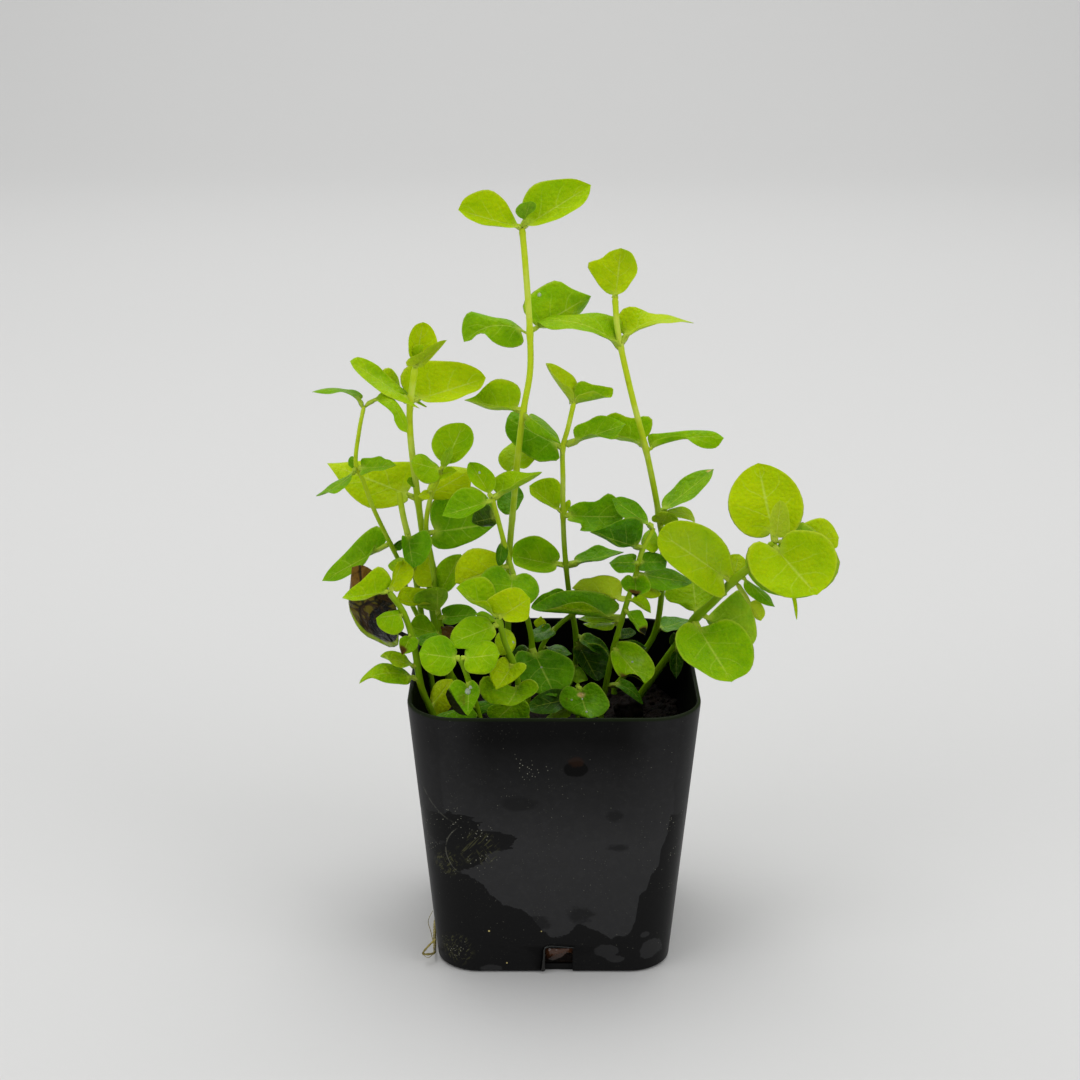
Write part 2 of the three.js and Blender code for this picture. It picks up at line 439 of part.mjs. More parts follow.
        leans: [NEAR, FAR, NEAR], tone: YOUNG, joined: true },
      { foot: [519, 686], tip: [508, 706], edges: [[480, 692], [539, 689]], length: 7.4, breadth: 12.4,
        leans: [NEAR, FAR, NEAR], lobe: 0.1 },
      { foot: [519, 696], tip: [492, 722], edges: [[490, 706], [526, 716]], length: 7.4, breadth: 7,
        leans: [FAR, FAR, NEAR], tone: DARK, joined: true },
      { foot: [516, 696], tip: [465, 712], edges: [[486, 700], [486, 716]], length: 10.5, breadth: 4.4,
        leans: [FAR, FAR, NEAR], tone: DARK, push: 2, joined: true },
      { foot: [499, 622], tip: [475, 614], edges: [[486, 611], [486, 624]], length: 5.5, breadth: 3,
        leans: [FAR, FAR, FAR], push: 2, joined: true },
    ],
  },
  {
    name: 'floor',
    radii: [0.45, 0.5],
    stem: [[578, 684, -5], [578, 700, -5]],
    root: [5, -5],
    leaves: [
      { foot: [577, 686], tip: [589, 719], edges: [[560, 700], [610, 704]], length: 8.6, breadth: 10.8,
        leans: [NEAR, FAR, NEAR], tone: DARK },
      { foot: [578, 704], tip: [545, 719], edges: [[564, 707], [560, 723]], length: 8, breadth: 5,
        leans: [FAR, FAR, NEAR], tone: DARK, joined: true },
      { foot: [577, 697], tip: [528, 708], edges: [[549, 690], [550, 714]], length: 10.4, breadth: 6,
        leans: [FAR, FAR, NEAR], tone: DARK, joined: true },
    ],
  },
  {
    name: 'nest',
    radii: [0.5, 0.55],
    stem: [[602, 603, 11], [575, 613, 10], [556, 628, 10], [540, 652, 10]],
    root: [0, 12],
    leaves: [
      { foot: [580, 611], tip: [605, 603], edges: [[588, 598], [594, 611]], length: 5.6, breadth: 3.4,
        leans: [FAR, FAR, FAR], tone: YOUNG, joined: true },
      { foot: [555, 629], tip: [527, 635], edges: [[541, 625], [541, 641]], length: 6.4, breadth: 4.6,
        leans: [NEAR, FAR, NEAR], tone: DARK, joined: true },
      { foot: [546, 648], tip: [572, 654], edges: [[556, 644], [558, 658]], length: 6, breadth: 4,
        leans: [FAR, FAR, NEAR], tone: DARK, joined: true },
      { foot: [541, 632], tip: [541, 616], edges: [[534, 622], [546, 622]], length: 3.6, breadth: 2.6,
        leans: [FAR, FAR, NEAR], tone: YOUNG, joined: true },
    ],
  },
];

const wasm = await Module();
wasm.setup();

// Lines of sight of the reference view

function sight(column, row) {
  const across = (column - FRAME_MIDDLE) / FOCAL;
  const up = (FRAME_MIDDLE - row) / FOCAL;
  const cosine = Math.cos(EYE_PITCH);
  const sine = Math.sin(EYE_PITCH);
  return new THREE.Vector3(across, cosine + up * sine, up * cosine - sine).normalize();
}

function seenAtDepth([column, row], depth) {
  const line = sight(column, row);
  return line.clone().multiplyScalar((depth - EYE.y) / line.y).add(EYE);
}

// The point on a line of sight that is a given distance from another point, on its near or its far side
function seenAtDistance([column, row], from, distance, side) {
  const line = sight(column, row);
  const toFrom = from.clone().sub(EYE);
  const closest = line.dot(toFrom);
  const rest = closest * closest - toFrom.lengthSq() + distance * distance;
  const along = closest + side * Math.sqrt(Math.max(rest, 0));
  return line.multiplyScalar(along).add(EYE);
}

// Solids and meshes

function toSolid(geometry) {
  const bare = geometry.clone();
  bare.deleteAttribute('normal');
  bare.deleteAttribute('uv');
  const merged = mergeVertices(bare, WELD);
  const mesh = new wasm.Mesh({
    numProp: 3,
    vertProperties: Float32Array.from(merged.attributes.position.array),
    triVerts: Uint32Array.from(merged.index.array),
  });
  return new wasm.Manifold(mesh);
}

function fromSolid(solid) {
  const mesh = solid.getMesh();
  const geometry = new THREE.BufferGeometry();
  geometry.setAttribute('position', new THREE.BufferAttribute(Float32Array.from(mesh.vertProperties), 3));
  geometry.setIndex(new THREE.BufferAttribute(Uint32Array.from(mesh.triVerts), 1));
  geometry.computeVertexNormals();
  return geometry;
}

function named(name, geometry, finish) {
  const mesh = new THREE.Mesh(geometry, new THREE.MeshStandardMaterial(finish));
  mesh.name = name;
  return mesh;
}

function mapVertices(geometry, place) {
  const position = geometry.attributes.position;
  const point = new THREE.Vector3();
  for (let i = 0; i < position.count; i += 1) {
    point.fromBufferAttribute(position, i);
    const moved = place(point);
    position.setXYZ(i, moved.x, moved.y, moved.z);
  }
  position.needsUpdate = true;
  return geometry;
}

// Turns a mapped closed surface the right way round if the mapping turned it inside out
function facingOut(geometry) {
  const index = geometry.index;
  const position = geometry.attributes.position;
  const corners = [new THREE.Vector3(), new THREE.Vector3(), new THREE.Vector3()];
  let volume = 0;
  for (let i = 0; i < index.count; i += 3) {
    corners.forEach((corner, k) => corner.fromBufferAttribute(position, index.getX(i + k)));
    volume += corners[0].dot(corners[1].clone().cross(corners[2]));
  }
  if (volume < 0) {
    for (let i = 0; i < index.count; i += 3) {
      const second = index.getX(i + 1);
      index.setX(i + 1, index.getX(i + 2));
      index.setX(i + 2, second);
    }
  }
  return geometry;
}

// Pot and soil

function halfWidthAt(height) {
  return THREE.MathUtils.lerp(POT_BASE_WIDTH, POT_RIM_WIDTH, height / POT_HEIGHT) / 2;
}

function roundedSquare(half, corner) {
  const inset = half - corner;
  const shape = new THREE.Shape();
  shape.absarc(inset, inset, corner, 0, Math.PI / 2);
  shape.absarc(-inset, inset, corner, Math.PI / 2, Math.PI);
  shape.absarc(-inset, -inset, corner, Math.PI, 1.5 * Math.PI);
  shape.absarc(inset, -inset, corner, 1.5 * Math.PI, 2 * Math.PI);
  return shape;
}

function taperedBlock(low, high, inset) {
  const half = halfWidthAt(low) - inset;
  const grow = (halfWidthAt(high) - inset) / half - 1;
  const corner = POT_BASE_CORNER * halfWidthAt(low) / halfWidthAt(0) - inset;
  const options = { depth: 1, bevelEnabled: false, curveSegments: CORNER_STEPS / 2 };
  const block = new THREE.ExtrudeGeometry(roundedSquare(half, corner), options);
  return mapVertices(block, (p) => {
    const scale = 1 + grow * p.z;
    return new THREE.Vector3(p.x * scale, p.y * scale, THREE.MathUtils.lerp(low, high, p.z));
  });
}

function drainNotch(turn) {
  const notch = new THREE.BoxGeometry(NOTCH_WIDTH, 2 * NOTCH_DEPTH, 2 * NOTCH_HEIGHT);
  notch.translate(NOTCH_SHIFT, -halfWidthAt(0), 0);
  notch.rotateZ(turn * Math.PI / 2);
  return toSolid(notch);
}

function pot() {
  const above = POT_HEIGHT + OPEN_TOP;
  let solid = toSolid(taperedBlock(0, POT_HEIGHT, 0));
  solid = solid.subtract(toSolid(taperedBlock(POT_FLOOR, above, POT_WALL)));
  for (let side = 0; side < 4; side += 1) {
    solid = solid.subtract(drainNotch(side));
  }
  return named('pot', fromSolid(solid), BLACK_PLASTIC);
}

function soilHeight(x, y) {
  const { along, shift, across, slantX, slantY, slantShare } = SOIL_WAVES;
  const swell = Math.sin(along * x + shift) * Math.cos(across * y);
  const waves = swell + slantShare * Math.sin(slantX * x - slantY * y);
  return SOIL_LEVEL + SOIL_BUMP * (waves / (1 + slantShare) - 1);
}

function soil() {
  const ball = new THREE.SphereGeometry(1, SOIL_SIDES, SOIL_ROWS);
  const floor = POT_FLOOR + GAP;
  const inset = POT_WALL + SOIL_INSET;
  const topRows = SOIL_ROWS - SOIL_UNDER_ROWS;
  const lump = mapVertices(ball, (p) => {
    const row = Math.round(Math.acos(THREE.MathUtils.clamp(p.y, -1, 1)) / Math.PI * SOIL_ROWS);
    const angle = Math.atan2(p.z, p.x);
    const sides = Math.abs(Math.cos(angle)) ** SOIL_SQUARENESS + Math.abs(Math.sin(angle)) ** SOIL_SQUARENESS;
    const square = sides ** (-1 / SOIL_SQUARENESS);
    const under = row > topRows;
    const level = under ? floor : SOIL_LEVEL;
    const spread = under ? (SOIL_ROWS - row) / 2 : row / topRows;
    const reach = (halfWidthAt(level) - inset) * square * spread;
    const x = reach * Math.cos(angle);
    const y = reach * Math.sin(angle);
    return new THREE.Vector3(x, y, under ? floor : soilHeight(x, y));
  });
  return named('soil', facingOut(lump), WET_SOIL);
}

function creptRoot() {
  const face = -halfWidthAt(0);
  const bends = [ROOT_START, ...ROOT_BENDS].map(([x, y, z]) => new THREE.Vector3(face + x, y, z));
  const path = new THREE.CatmullRomCurve3(bends);
  return named('root_loop', tube(path, ROOT_SIDES, ROOT_STEPS, [ROOT_RADIUS, ROOT_RADIUS / 2]), ROOT);
}

// Stems and leaves

// A closed round tube along a path, from the first radius to the last
function tube(path, sides, steps, [first, last]) {
  const ring = new THREE.Shape().absarc(0, 0, 1, 0, 2 * Math.PI);
  const options = { steps, curveSegments: sides / 2, bevelEnabled: false, extrudePath: path };
  const rod = new THREE.ExtrudeGeometry(ring, options);
  const centres = path.getSpacedPoints(steps);
  return mapVertices(rod, (p) => {
    const gaps = centres.map((centre) => Math.abs(centre.distanceTo(p) - 1));
    const near = gaps.indexOf(Math.min(...gaps));
    const radius = THREE.MathUtils.lerp(first, last, near / steps);
    return p.clone().sub(centres[near]).multiplyScalar(radius).add(centres[near]);
  });
}

function stemPath(shoot) {
  const points = shoot.stem.map(([column, row, depth]) => seenAtDepth([column, row], depth));
  const [x, y] = shoot.root;
  points.push(new THREE.Vector3(x, y, SOIL_LEVEL + GAP));
  return new THREE.CatmullRomCurve3(points, false, 'centripetal');
}

// The point of the stem that the view shows closest to a leaf's foot
function stemPointAt(path, foot, inset) {
  const spots = path.getSpacedPoints(STEM_SAMPLES);
  const misses = spots.map((point) => point.distanceTo(seenAtDepth(foot, point.y)));
  const nearest = misses.indexOf(Math.min(...misses)) / STEM_SAMPLES;
  const place = Math.max(nearest, inset / path.getLength());
  return { axis: path.getPointAt(place), grain: path.getTangentAt(place) };
}

function leafFrame(leaf, path, stemRadius) {
  const { axis, grain } = stemPointAt(path, leaf.foot, leaf.joined ? STEM_END : 0);
  const deep = new THREE.Vector3(0, leaf.push ?? 0, 0);
  const [tipSide, firstSide, secondSide] = leaf.leans;
  const start = axis.clone().add(deep);
  const tip = seenAtDistance(leaf.tip, start, leaf.length, tipSide);
  const outward = tip.clone().sub(axis).normalize();
  const foot = axis.clone();
  const slant = Math.max(outward.clone().cross(grain).length(), LEAST_SLANT);
  foot.addScaledVector(outward, leaf.joined ? -stemRadius : (stemRadius + GAP) / slant);
  const chordMiddle = foot.clone().lerp(tip, 0.5);
  const bend = leaf.via ? seenAtDepth(leaf.via, chordMiddle.y + (leaf.push ?? 0) / 2) : chordMiddle;
  const control = bend.clone().multiplyScalar(2).sub(chordMiddle);
  const midrib = new THREE.QuadraticBezierCurve3(foot, control, tip);
  const stalk = leaf.stalk ?? USUAL_STALK;
  const middle = midrib.getPoint((1 + stalk) / 2);
  const edges = [firstSide, secondSide].map((side, i) => {
    const reach = middle.clone();
    return seenAtDistance(leaf.edges[i], reach, leaf.breadth / 2, side).sub(middle);
  });
  const across = edges[0].clone().sub(edges[1]);
  const along = tip.clone().sub(foot);
  const normal = along.cross(across).normalize();
  return { midrib, stalk, edges, normal };
}

// How wide an egg-shaped blade is along its length, as a share of its breadth
function bladeSpread(station) {
  const base = station < WIDEST_STATION;
  const reach = base ? WIDEST_STATION : 1 - WIDEST_STATION;
  const power = base ? BASE_FULLNESS : TIP_FULLNESS;
  return (1 - (Math.abs(station - WIDEST_STATION) / reach) ** power) ** (1 / power);
}

// A thin closed blade: rows of four points round the midrib, between a point at the foot and one at the tip
function leafGeometry(leaf, path, stemRadius) {
  const { midrib, stalk, edges, normal } = leafFrame(leaf, path, stemRadius);
  const blade = leaf.joined ? SMALL_BLADE_STATIONS : BLADE_STATIONS;
  const rows = blade.length + 2;
  const lobe = leaf.lobe ?? 0;
  const ball = new THREE.SphereGeometry(1, 4, rows);
  const sheet = mapVertices(ball, (p) => {
    const row = Math.round(Math.acos(THREE.MathUtils.clamp(p.y, -1, 1)) / Math.PI * rows);
    if (row === 0 || row === rows) {
      return midrib.getPoint(row / rows);
    }
    const ring = Math.hypot(p.x, p.z);
    const side = p.x / ring;
    const face = p.z / ring;
    const edge = side > 0 ? edges[0] : edges[1];
    if (row === 1) {
      const spot = midrib.getPoint(stalk * STALK_END);
      const thin = edge.clone().normalize().multiplyScalar(STALK_RADIUS * Math.abs(side));
      return spot.add(thin).addScaledVector(normal, STALK_RADIUS * face);
    }
    const station = blade[row - 2];
    const spread = bladeSpread(station);
    const back = lobe * Math.abs(side) * (1 - station) ** 2;
    const spot = midrib.getPoint(THREE.MathUtils.lerp(stalk, 1, station));
    spot.addScaledVector(edge, Math.abs(side) * spread);
    spot.addScaledVector(midrib.getPoint(1).sub(midrib.getPoint(0)), -back);
    return spot.addScaledVector(normal, face * BLADE_THICKNESS / 2 * Math.sqrt(spread));
  });
  return facingOut(sheet);
}

function shootMeshes(shoot) {
  const path = stemPath(shoot);
  const steps = Math.max(3, Math.ceil(path.getLength() / STEM_STEP));
  let body = toSolid(tube(path, STEM_SIDES, steps, shoot.radii));
  const meshes = [];
  shoot.leaves.forEach((leaf, i) => {
    const geometry = leafGeometry(leaf, path, Math.max(...shoot.radii));
    if (leaf.joined) {
      body = body.add(toSolid(geometry));
    } else {
      meshes.push(named(`${shoot.name}_leaf_${i + 1}`, geometry, leaf.tone ?? GREEN));
    }
  });
  return [named(`${shoot.name}_stem`, fromSolid(body.simplify(MERGE)), STEM), ...meshes];
}

const plant = new THREE.Group();
plant.add(pot(), soil(), creptRoot());
SHOOTS.forEach((shoot) => plant.add(...shootMeshes(shoot)));

export default plant;
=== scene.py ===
"""A golden creeping jenny in a square black nursery pot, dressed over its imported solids."""

import logging
import math
from dataclasses import dataclass, field
from enum import Enum
from functools import cached_property, reduce
from typing import Any, Callable, Optional, Sequence, Union

import bmesh
import bpy
import numpy as np
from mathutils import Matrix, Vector


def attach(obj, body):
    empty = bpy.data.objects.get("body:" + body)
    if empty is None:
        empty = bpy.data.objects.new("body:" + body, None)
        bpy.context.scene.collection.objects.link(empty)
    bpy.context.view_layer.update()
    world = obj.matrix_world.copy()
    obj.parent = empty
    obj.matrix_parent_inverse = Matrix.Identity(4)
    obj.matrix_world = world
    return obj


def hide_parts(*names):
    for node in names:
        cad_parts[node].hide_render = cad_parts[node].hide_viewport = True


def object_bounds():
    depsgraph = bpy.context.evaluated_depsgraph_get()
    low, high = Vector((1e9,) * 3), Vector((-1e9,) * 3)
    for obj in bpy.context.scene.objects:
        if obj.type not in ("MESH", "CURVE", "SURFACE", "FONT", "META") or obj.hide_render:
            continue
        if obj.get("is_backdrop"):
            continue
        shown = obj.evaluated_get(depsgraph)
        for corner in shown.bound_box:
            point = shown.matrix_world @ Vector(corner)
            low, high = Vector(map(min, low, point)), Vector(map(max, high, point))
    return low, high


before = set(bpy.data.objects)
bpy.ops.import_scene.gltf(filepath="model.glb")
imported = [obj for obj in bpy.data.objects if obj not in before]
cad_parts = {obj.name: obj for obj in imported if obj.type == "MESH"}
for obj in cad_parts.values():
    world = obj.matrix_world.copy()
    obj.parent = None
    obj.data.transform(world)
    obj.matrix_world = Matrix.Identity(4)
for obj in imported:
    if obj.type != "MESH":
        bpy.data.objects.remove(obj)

log = logging.getLogger("creeping_jenny")

MM = 0.001
Spot = tuple[float, float]
Rgb = tuple[float, float, float]
Face = tuple[int, ...]
Ovals = tuple[tuple[float, float, float, float], ...]
Piece = bpy.types.Object
Material = bpy.types.Material


class Tone(Enum):
    """How light a leaf is, partly painted shade, from shaded and aged to young and lime; DEAD is the withered one.
    """

    SHADE = 0.0
    DEEP = 0.22
    GREEN = 0.42
    FRESH = 0.6
    SPRING = 0.8
    LIME = 1.0
    DEAD = -1.0


class Blemish(Enum):
    """What a mark on a leaf is, by the channel of the Marks attribute that holds it."""

    STAIN = 0
    ROT = 1
    PALE = 2
    WET = 3


SHADE, DEEP, GREEN, FRESH, SPRING, LIME, DEAD = Tone
STAIN, ROT, PALE, WET = Blemish


@dataclass(frozen=True)
class Mark:
    """A blemish on a leaf blade.

    Args:
        kind: What it is.
        at: Its middle, as a share of the blade's length and of its half breadth.
        reach: Its radius, in the same shares.
        strength: How strongly it shows.
    """

    kind: Blemish
    at: Spot
    reach: Spot
    strength: float = 1.0


@dataclass(frozen=True)
class Leaf:
    """One leaf, read from the front view and solved in depth from its real size.

    Args:
        foot: Where it leaves the stem, as column and row of the front view.
        tip: Its tip in that view.
        first: Its widest point on one side.
        second: Its widest point on the other side.
        length: Real length in millimetres.
        breadth: Real breadth in millimetres.
        leans: n (near) or f (far) for the tip, the first and the second edge.
        tone: How light it is; partly its own colour, partly painted shade where it lies in shadow.
        light: Added to its tone; painted light and shade that make up for how light falls on it.
        via: The middle of a curved midrib in the view.
        lobe: How far the base lobes reach back, as a share of the length.
        push: Millimetres that the blade is set back.
        stalk: The stalk's share of the length.
        own: Whether it is a piece of its own; the others are joined to their stem.
        wave: Height of the edge's waves, as a share of the breadth.
        curl: How far the tip curls out of the blade, as a share of the length.
        crease: Depth of the fold along the midrib, as a share of the breadth.
        sides: Further columns and rows, in turn, of the first and the second edge, from the base to the tip.
        marks: Its blemishes.
        drops: Water on it: column and row in the view, and radius in millimetres.
    """

    foot: Spot
    tip: Spot
    first: Spot
    second: Spot
    length: float
    breadth: float
    leans: str
    tone: Tone
    light: float = 0.0
    via: Optional[Spot] = None
    lobe: float = 0.0
    push: float = 0.0
    stalk: float = 0.12
    own: bool = False
    wave: float = 0.03
    curl: float = 0.0
    crease: float = 0.05
    sides: tuple[tuple[int, ...], ...] = ()
    marks: tuple[Mark, ...] = ()
    drops: tuple[tuple[float, float, float], ...] = ()


@dataclass(frozen=True)
class Shoot:
    """One stem with its leaves.

    Args:
        name: Where it stands.
        radii: Stem radius at the top and at the soil, in millimetres.
        stem: Points from the top down, as column, row and depth behind the pot's middle.
        root: Where it enters the soil, as x and y in millimetres.
        leaves: Its leaves, from the top down.
    """

    name: str
    radii: tuple[float, float]
    stem: tuple[tuple[float, float, float], ...]
    root: Spot
    leaves: tuple[Leaf, ...]


# What the front view shows of each shoot: spots as column and row, sizes in millimetres
TALL = Shoot("tall", (0.64, 0.7), ((522, 228, 0), (525, 260, 0), (530, 335, 1), (530, 372, 2), (523, 413, 3),
    (518, 455, 4), (514, 500, 6), (509, 560, 8)), (-10, 12), (
    Leaf((517, 228), (458, 210), (487, 190), (482, 225), 13.2, 9, "nfn", SPRING, 0.1, lobe=0.1, stalk=0.05,
         own=True, sides=((511, 212, 504, 199, 492, 191, 478, 192, 464, 199), (508, 228, 485, 225, 468, 219))),
    Leaf((527, 224), (591, 185), (546, 182), (571, 214), 16.2, 10.5, "ffn", SPRING, push=2, stalk=0.06, own=True,
         sides=((522, 206, 531, 188, 550, 180, 572, 179), (535, 226, 578, 210, 589, 195))),
    Leaf((522, 227), (531, 201), (516, 212), (538, 212), 5.8, 4.6, "nnn", GREEN, 0.1, push=-1.5, stalk=0.3,
         sides=((519, 217, 515, 211, 520, 204), (527, 216, 535, 210, 536, 204))),
    Leaf((535, 333), (591, 296), (541, 288), (573, 320), 14.6, 11, "fnf", FRESH, lobe=0.15, push=4, crease=0.1,
         own=True, sides=((526, 317, 521, 308, 523, 300, 542, 286, 555, 280, 570, 288),
         (548, 328, 577, 316, 586, 305)), drops=((539.5, 293, 0.45),)),
    Leaf((527, 334), (464, 342), (482, 313), (503, 344), 14.5, 9, "ffn", FRESH, -0.05, via=(495, 325), crease=0.1,
         own=True, sides=((524, 331, 512, 321, 495, 318, 480, 314, 470, 312, 464, 318, 462, 330),
         (524, 343, 514, 348, 503, 347, 493, 342, 485, 334, 479, 333, 472, 340))),
    Leaf((522, 411), (464, 400), (495, 379), (492, 408), 12.2, 9, "ffn", FRESH, 0.25, lobe=0.1, push=4, own=True,
         sides=((519, 405, 521, 393, 517, 384, 506, 380, 494, 381, 485, 387, 476, 396), (508, 408, 498, 408))),
    Leaf((522, 413), (561, 444), (546, 420), (528, 441), 10.5, 8, "nfn", FRESH, -0.1, push=-2, crease=-0.1,
         sides=((531, 413, 550, 424, 557, 433), (524, 421, 531, 430, 541, 436, 552, 439))),
    Leaf((517, 472), (516, 440), (499, 456), (535, 456), 7.5, 8, "fff", FRESH, 0.2, push=2.5,
         sides=((508, 471, 500, 466, 499, 456, 515, 440), (525, 470, 532, 463, 537, 456, 535, 446))),
    Leaf((513, 518), (512, 485), (499, 503), (525, 501), 8, 6, "ffn", GREEN, -0.1, push=2.5,
         sides=((505, 515, 497, 505, 500, 492), (519, 508, 524, 497, 519, 487))),
))
RIGHT = Shoot("right", (0.62, 0.7), ((615, 297, 4), (617, 325, 4), (621, 348, 4), (633, 400, 6), (646, 450, 9),
    (658, 510, 13), (663, 550, 17), (661, 600, 20), (655, 632, 22), (645, 650, 23)), (14, 24), (
    Leaf((615, 298), (621, 248), (592, 275), (638, 270), 10.5, 11.5, "ffn", LIME, lobe=0.15, stalk=0.05, own=True,
         sides=((607, 293, 588, 265, 602, 259, 610, 252), (624, 292, 632, 285, 637, 275, 637, 264, 632, 253))),
    Leaf((619, 346), (537, 322), (582, 313), (588, 334), 18, 9, "nfn", LIME, -0.35, via=(582, 323), lobe=0.08,
         push=-3, stalk=0.05, crease=0.1, own=True, sides=((622, 331, 619, 321, 610, 318, 596, 315, 553, 317),
         (600, 336, 588, 333, 550, 330))),
    Leaf((624, 343), (694, 323), (644, 308), (654, 331), 15.5, 9, "ffn", LIME, via=(650, 321), lobe=0.1,
         crease=0.08, own=True, sides=((619, 331, 618, 316, 624, 309, 636, 309, 651, 315, 668, 316),
         (630, 336, 640, 330, 652, 325, 672, 324))),
    Leaf((644, 446), (600, 428), (626, 415), (621, 438), 10.5, 8, "ffn", FRESH, wave=0.06,
         sides=((650, 434, 652, 420, 645, 415, 634, 417, 624, 417, 616, 414, 606, 417),
         (637, 441, 630, 438, 618, 439, 606, 437))),
    Leaf((646, 450), (724, 438), (702, 430), (704, 449), 16.2, 8, "nfn", FRESH, via=(685, 438), stalk=0.05,
         own=True, sides=((648, 435, 660, 434, 702, 430, 715, 432),
         (655, 441, 682, 436, 692, 443, 703, 449, 716, 448))),
    Leaf((665, 513), (714, 469), (683, 477), (693, 503), 14, 9, "nfn", FRESH, stalk=0.08, own=True,
         sides=((662, 505, 666, 495, 692, 474, 705, 470), (678, 507, 690, 501, 712, 478)),
         marks=(Mark(PALE, (0.93, 0.45), (0.05, 0.3)),)),
    Leaf((660, 526), (668, 512), (650, 518), (678, 521), 6, 6, "nnn", GREEN, 0.45,
         sides=((652, 522, 652, 517, 658, 513), (668, 526, 678, 523, 676, 516))),
    Leaf((660, 514), (695, 522), (686, 508), (684, 519), 9, 4.5, "ffn", GREEN, 0.45, via=(683, 513)),
    Leaf((658, 630), (690, 620), (674, 614), (676, 629), 9, 7, "ffn", DEEP, sides=((660, 622, 664, 616, 676, 618),
         (668, 633, 686, 625))),
))
LEFT = Shoot("left", (0.68, 0.75), ((415, 368, 2), (410, 406, 2), (410, 430, 2), (416, 485, 3), (422, 530, 5),
    (428, 570, 7), (434, 620, 9)), (-21, 10), (
    Leaf((415, 366), (423, 322), (408, 344), (437, 348), 9.6, 6.4, "fnn", LIME,
         sides=((409, 356, 410, 333, 415, 325), (426, 362, 435, 352, 437, 342, 434, 331, 428, 324))),
    Leaf((413, 368), (447, 340), (422, 347), (435, 360), 10, 5.6, "nnn", SPRING, 0.3, push=-1.5, crease=0.12,
         sides=((406, 366, 405, 362, 409, 358, 420, 353, 430, 346, 440, 341), (420, 368))),
    Leaf((409, 402), (350, 361), (384, 366), (377, 388), 15.5, 9, "nfn", LIME, -0.2, lobe=0.15, wave=0.015,
         crease=0.02, own=True, sides=((429, 409, 408, 392, 396, 384, 386, 375, 378, 366, 357, 357),
         (420, 409, 385, 395, 353, 368))),
    Leaf((415, 402), (486, 378), (437, 361), (458, 405), 16, 11.5, "ffn", LIME, lobe=0.15, push=3.5, own=True,
         sides=((404, 391, 400, 379, 404, 370, 416, 363, 452, 361, 470, 366, 481, 372),
         (425, 402, 455, 401, 469, 395, 481, 388))),
    Leaf((413, 500), (327, 462), (388, 465), (360, 503), 19.5, 11.5, "ffn", LIME, push=3, curl=-0.03, own=True,
         sides=((414, 480, 412, 463, 395, 463, 370, 461), (408, 501, 397, 507, 370, 508, 358, 502, 345, 489))),
    Leaf((419, 500), (472, 470), (438, 468), (462, 498), 13, 10, "fff", SPRING, 0.3, own=True,
         sides=((432, 478, 444, 467, 470, 469), (436, 500, 452, 499, 468, 494))),
    Leaf((415, 484), (407, 481), (411, 477), (412, 487), 2.4, 2, "nnn", FRESH),
    Leaf((413, 360), (423, 345), (412, 350), (421, 354), 3.4, 1.8, "nnn", FRESH, 0.2, push=-2,
         sides=((412, 350, 416, 345), (421, 352, 423, 348))),
))
BENT = Shoot("bent", (0.42, 0.62), ((364, 406, -2), (359, 432, -2), (356, 465, -2), (363, 480, -1), (372, 505, 1),
    (391, 545, 4), (401, 566, 7), (410, 600, 12)), (-20, 19), (
    Leaf((363, 402), (312, 392), (340, 386), (338, 394), 11.2, 5.5, "ffn", GREEN, 0.05, via=(343, 390),
         sides=((363, 397, 355, 391, 328, 390), (358, 399, 348, 394, 322, 394))),
    Leaf((366, 400), (407, 433), (400, 406), (388, 413), 11.5, 4.6, "nfn", FRESH, 0.05, via=(388, 401), stalk=0.2,
         crease=0.15, own=True, sides=((383, 393, 407, 419), (379, 403, 393, 416, 394, 423, 399, 430))),
    Leaf((366, 403), (401, 389), (384, 370), (396, 386), 10.5, 5, "fff", SPRING, 0.1, push=4, stalk=0.45,
         sides=((381, 371, 389, 368, 397, 376), (384, 390, 393, 392))),
    Leaf((358, 468), (396, 465), (382, 456), (380, 473), 10.5, 6, "nfn", GREEN, 0.1, crease=0.1,
         sides=((362, 460, 372, 459, 380, 456, 386, 460, 391, 461), (360, 476, 370, 473, 380, 472))),
    Leaf((358, 467), (316, 496), (333, 480), (342, 495), 11.5, 6, "nfn", GREEN, 0.1, via=(340, 483), crease=0.12,
         sides=((352, 474, 343, 480, 334, 484), (351, 482, 335, 495, 327, 494))),
    Leaf((356, 471), (352, 456), (348, 464), (357, 463), 3.6, 2.4, "fff", GREEN),
    Leaf((396, 541), (322, 581), (352, 541), (366, 564), 18, 9, "ffn", GREEN, 0.1, lobe=0.1, stalk=0.2, own=True,
         sides=((388, 539, 384, 530, 377, 526, 330, 569), (376, 544, 371, 554, 364, 565, 350, 576, 336, 581))),
    Leaf((394, 549), (402, 540), (395, 543), (402, 549), 2.6, 1.8, "nnn", DEEP),
))
SHORT = Shoot("short", (0.65, 0.68), ((399, 492, -2), (403, 515, -2), (409, 540, 0), (416, 580, 6)), (-26, 11), (
    Leaf((411, 533), (413, 568), (402, 548), (430, 545), 7.6, 6.2, "nnn", DEEP, 0.15, push=-2,
         sides=((402, 536, 405, 560), (427, 530, 432, 545, 424, 562))),
    Leaf((413, 562), (388, 566), (399, 558), (401, 575), 6, 5, "nfn", GREEN, 0.3),
))
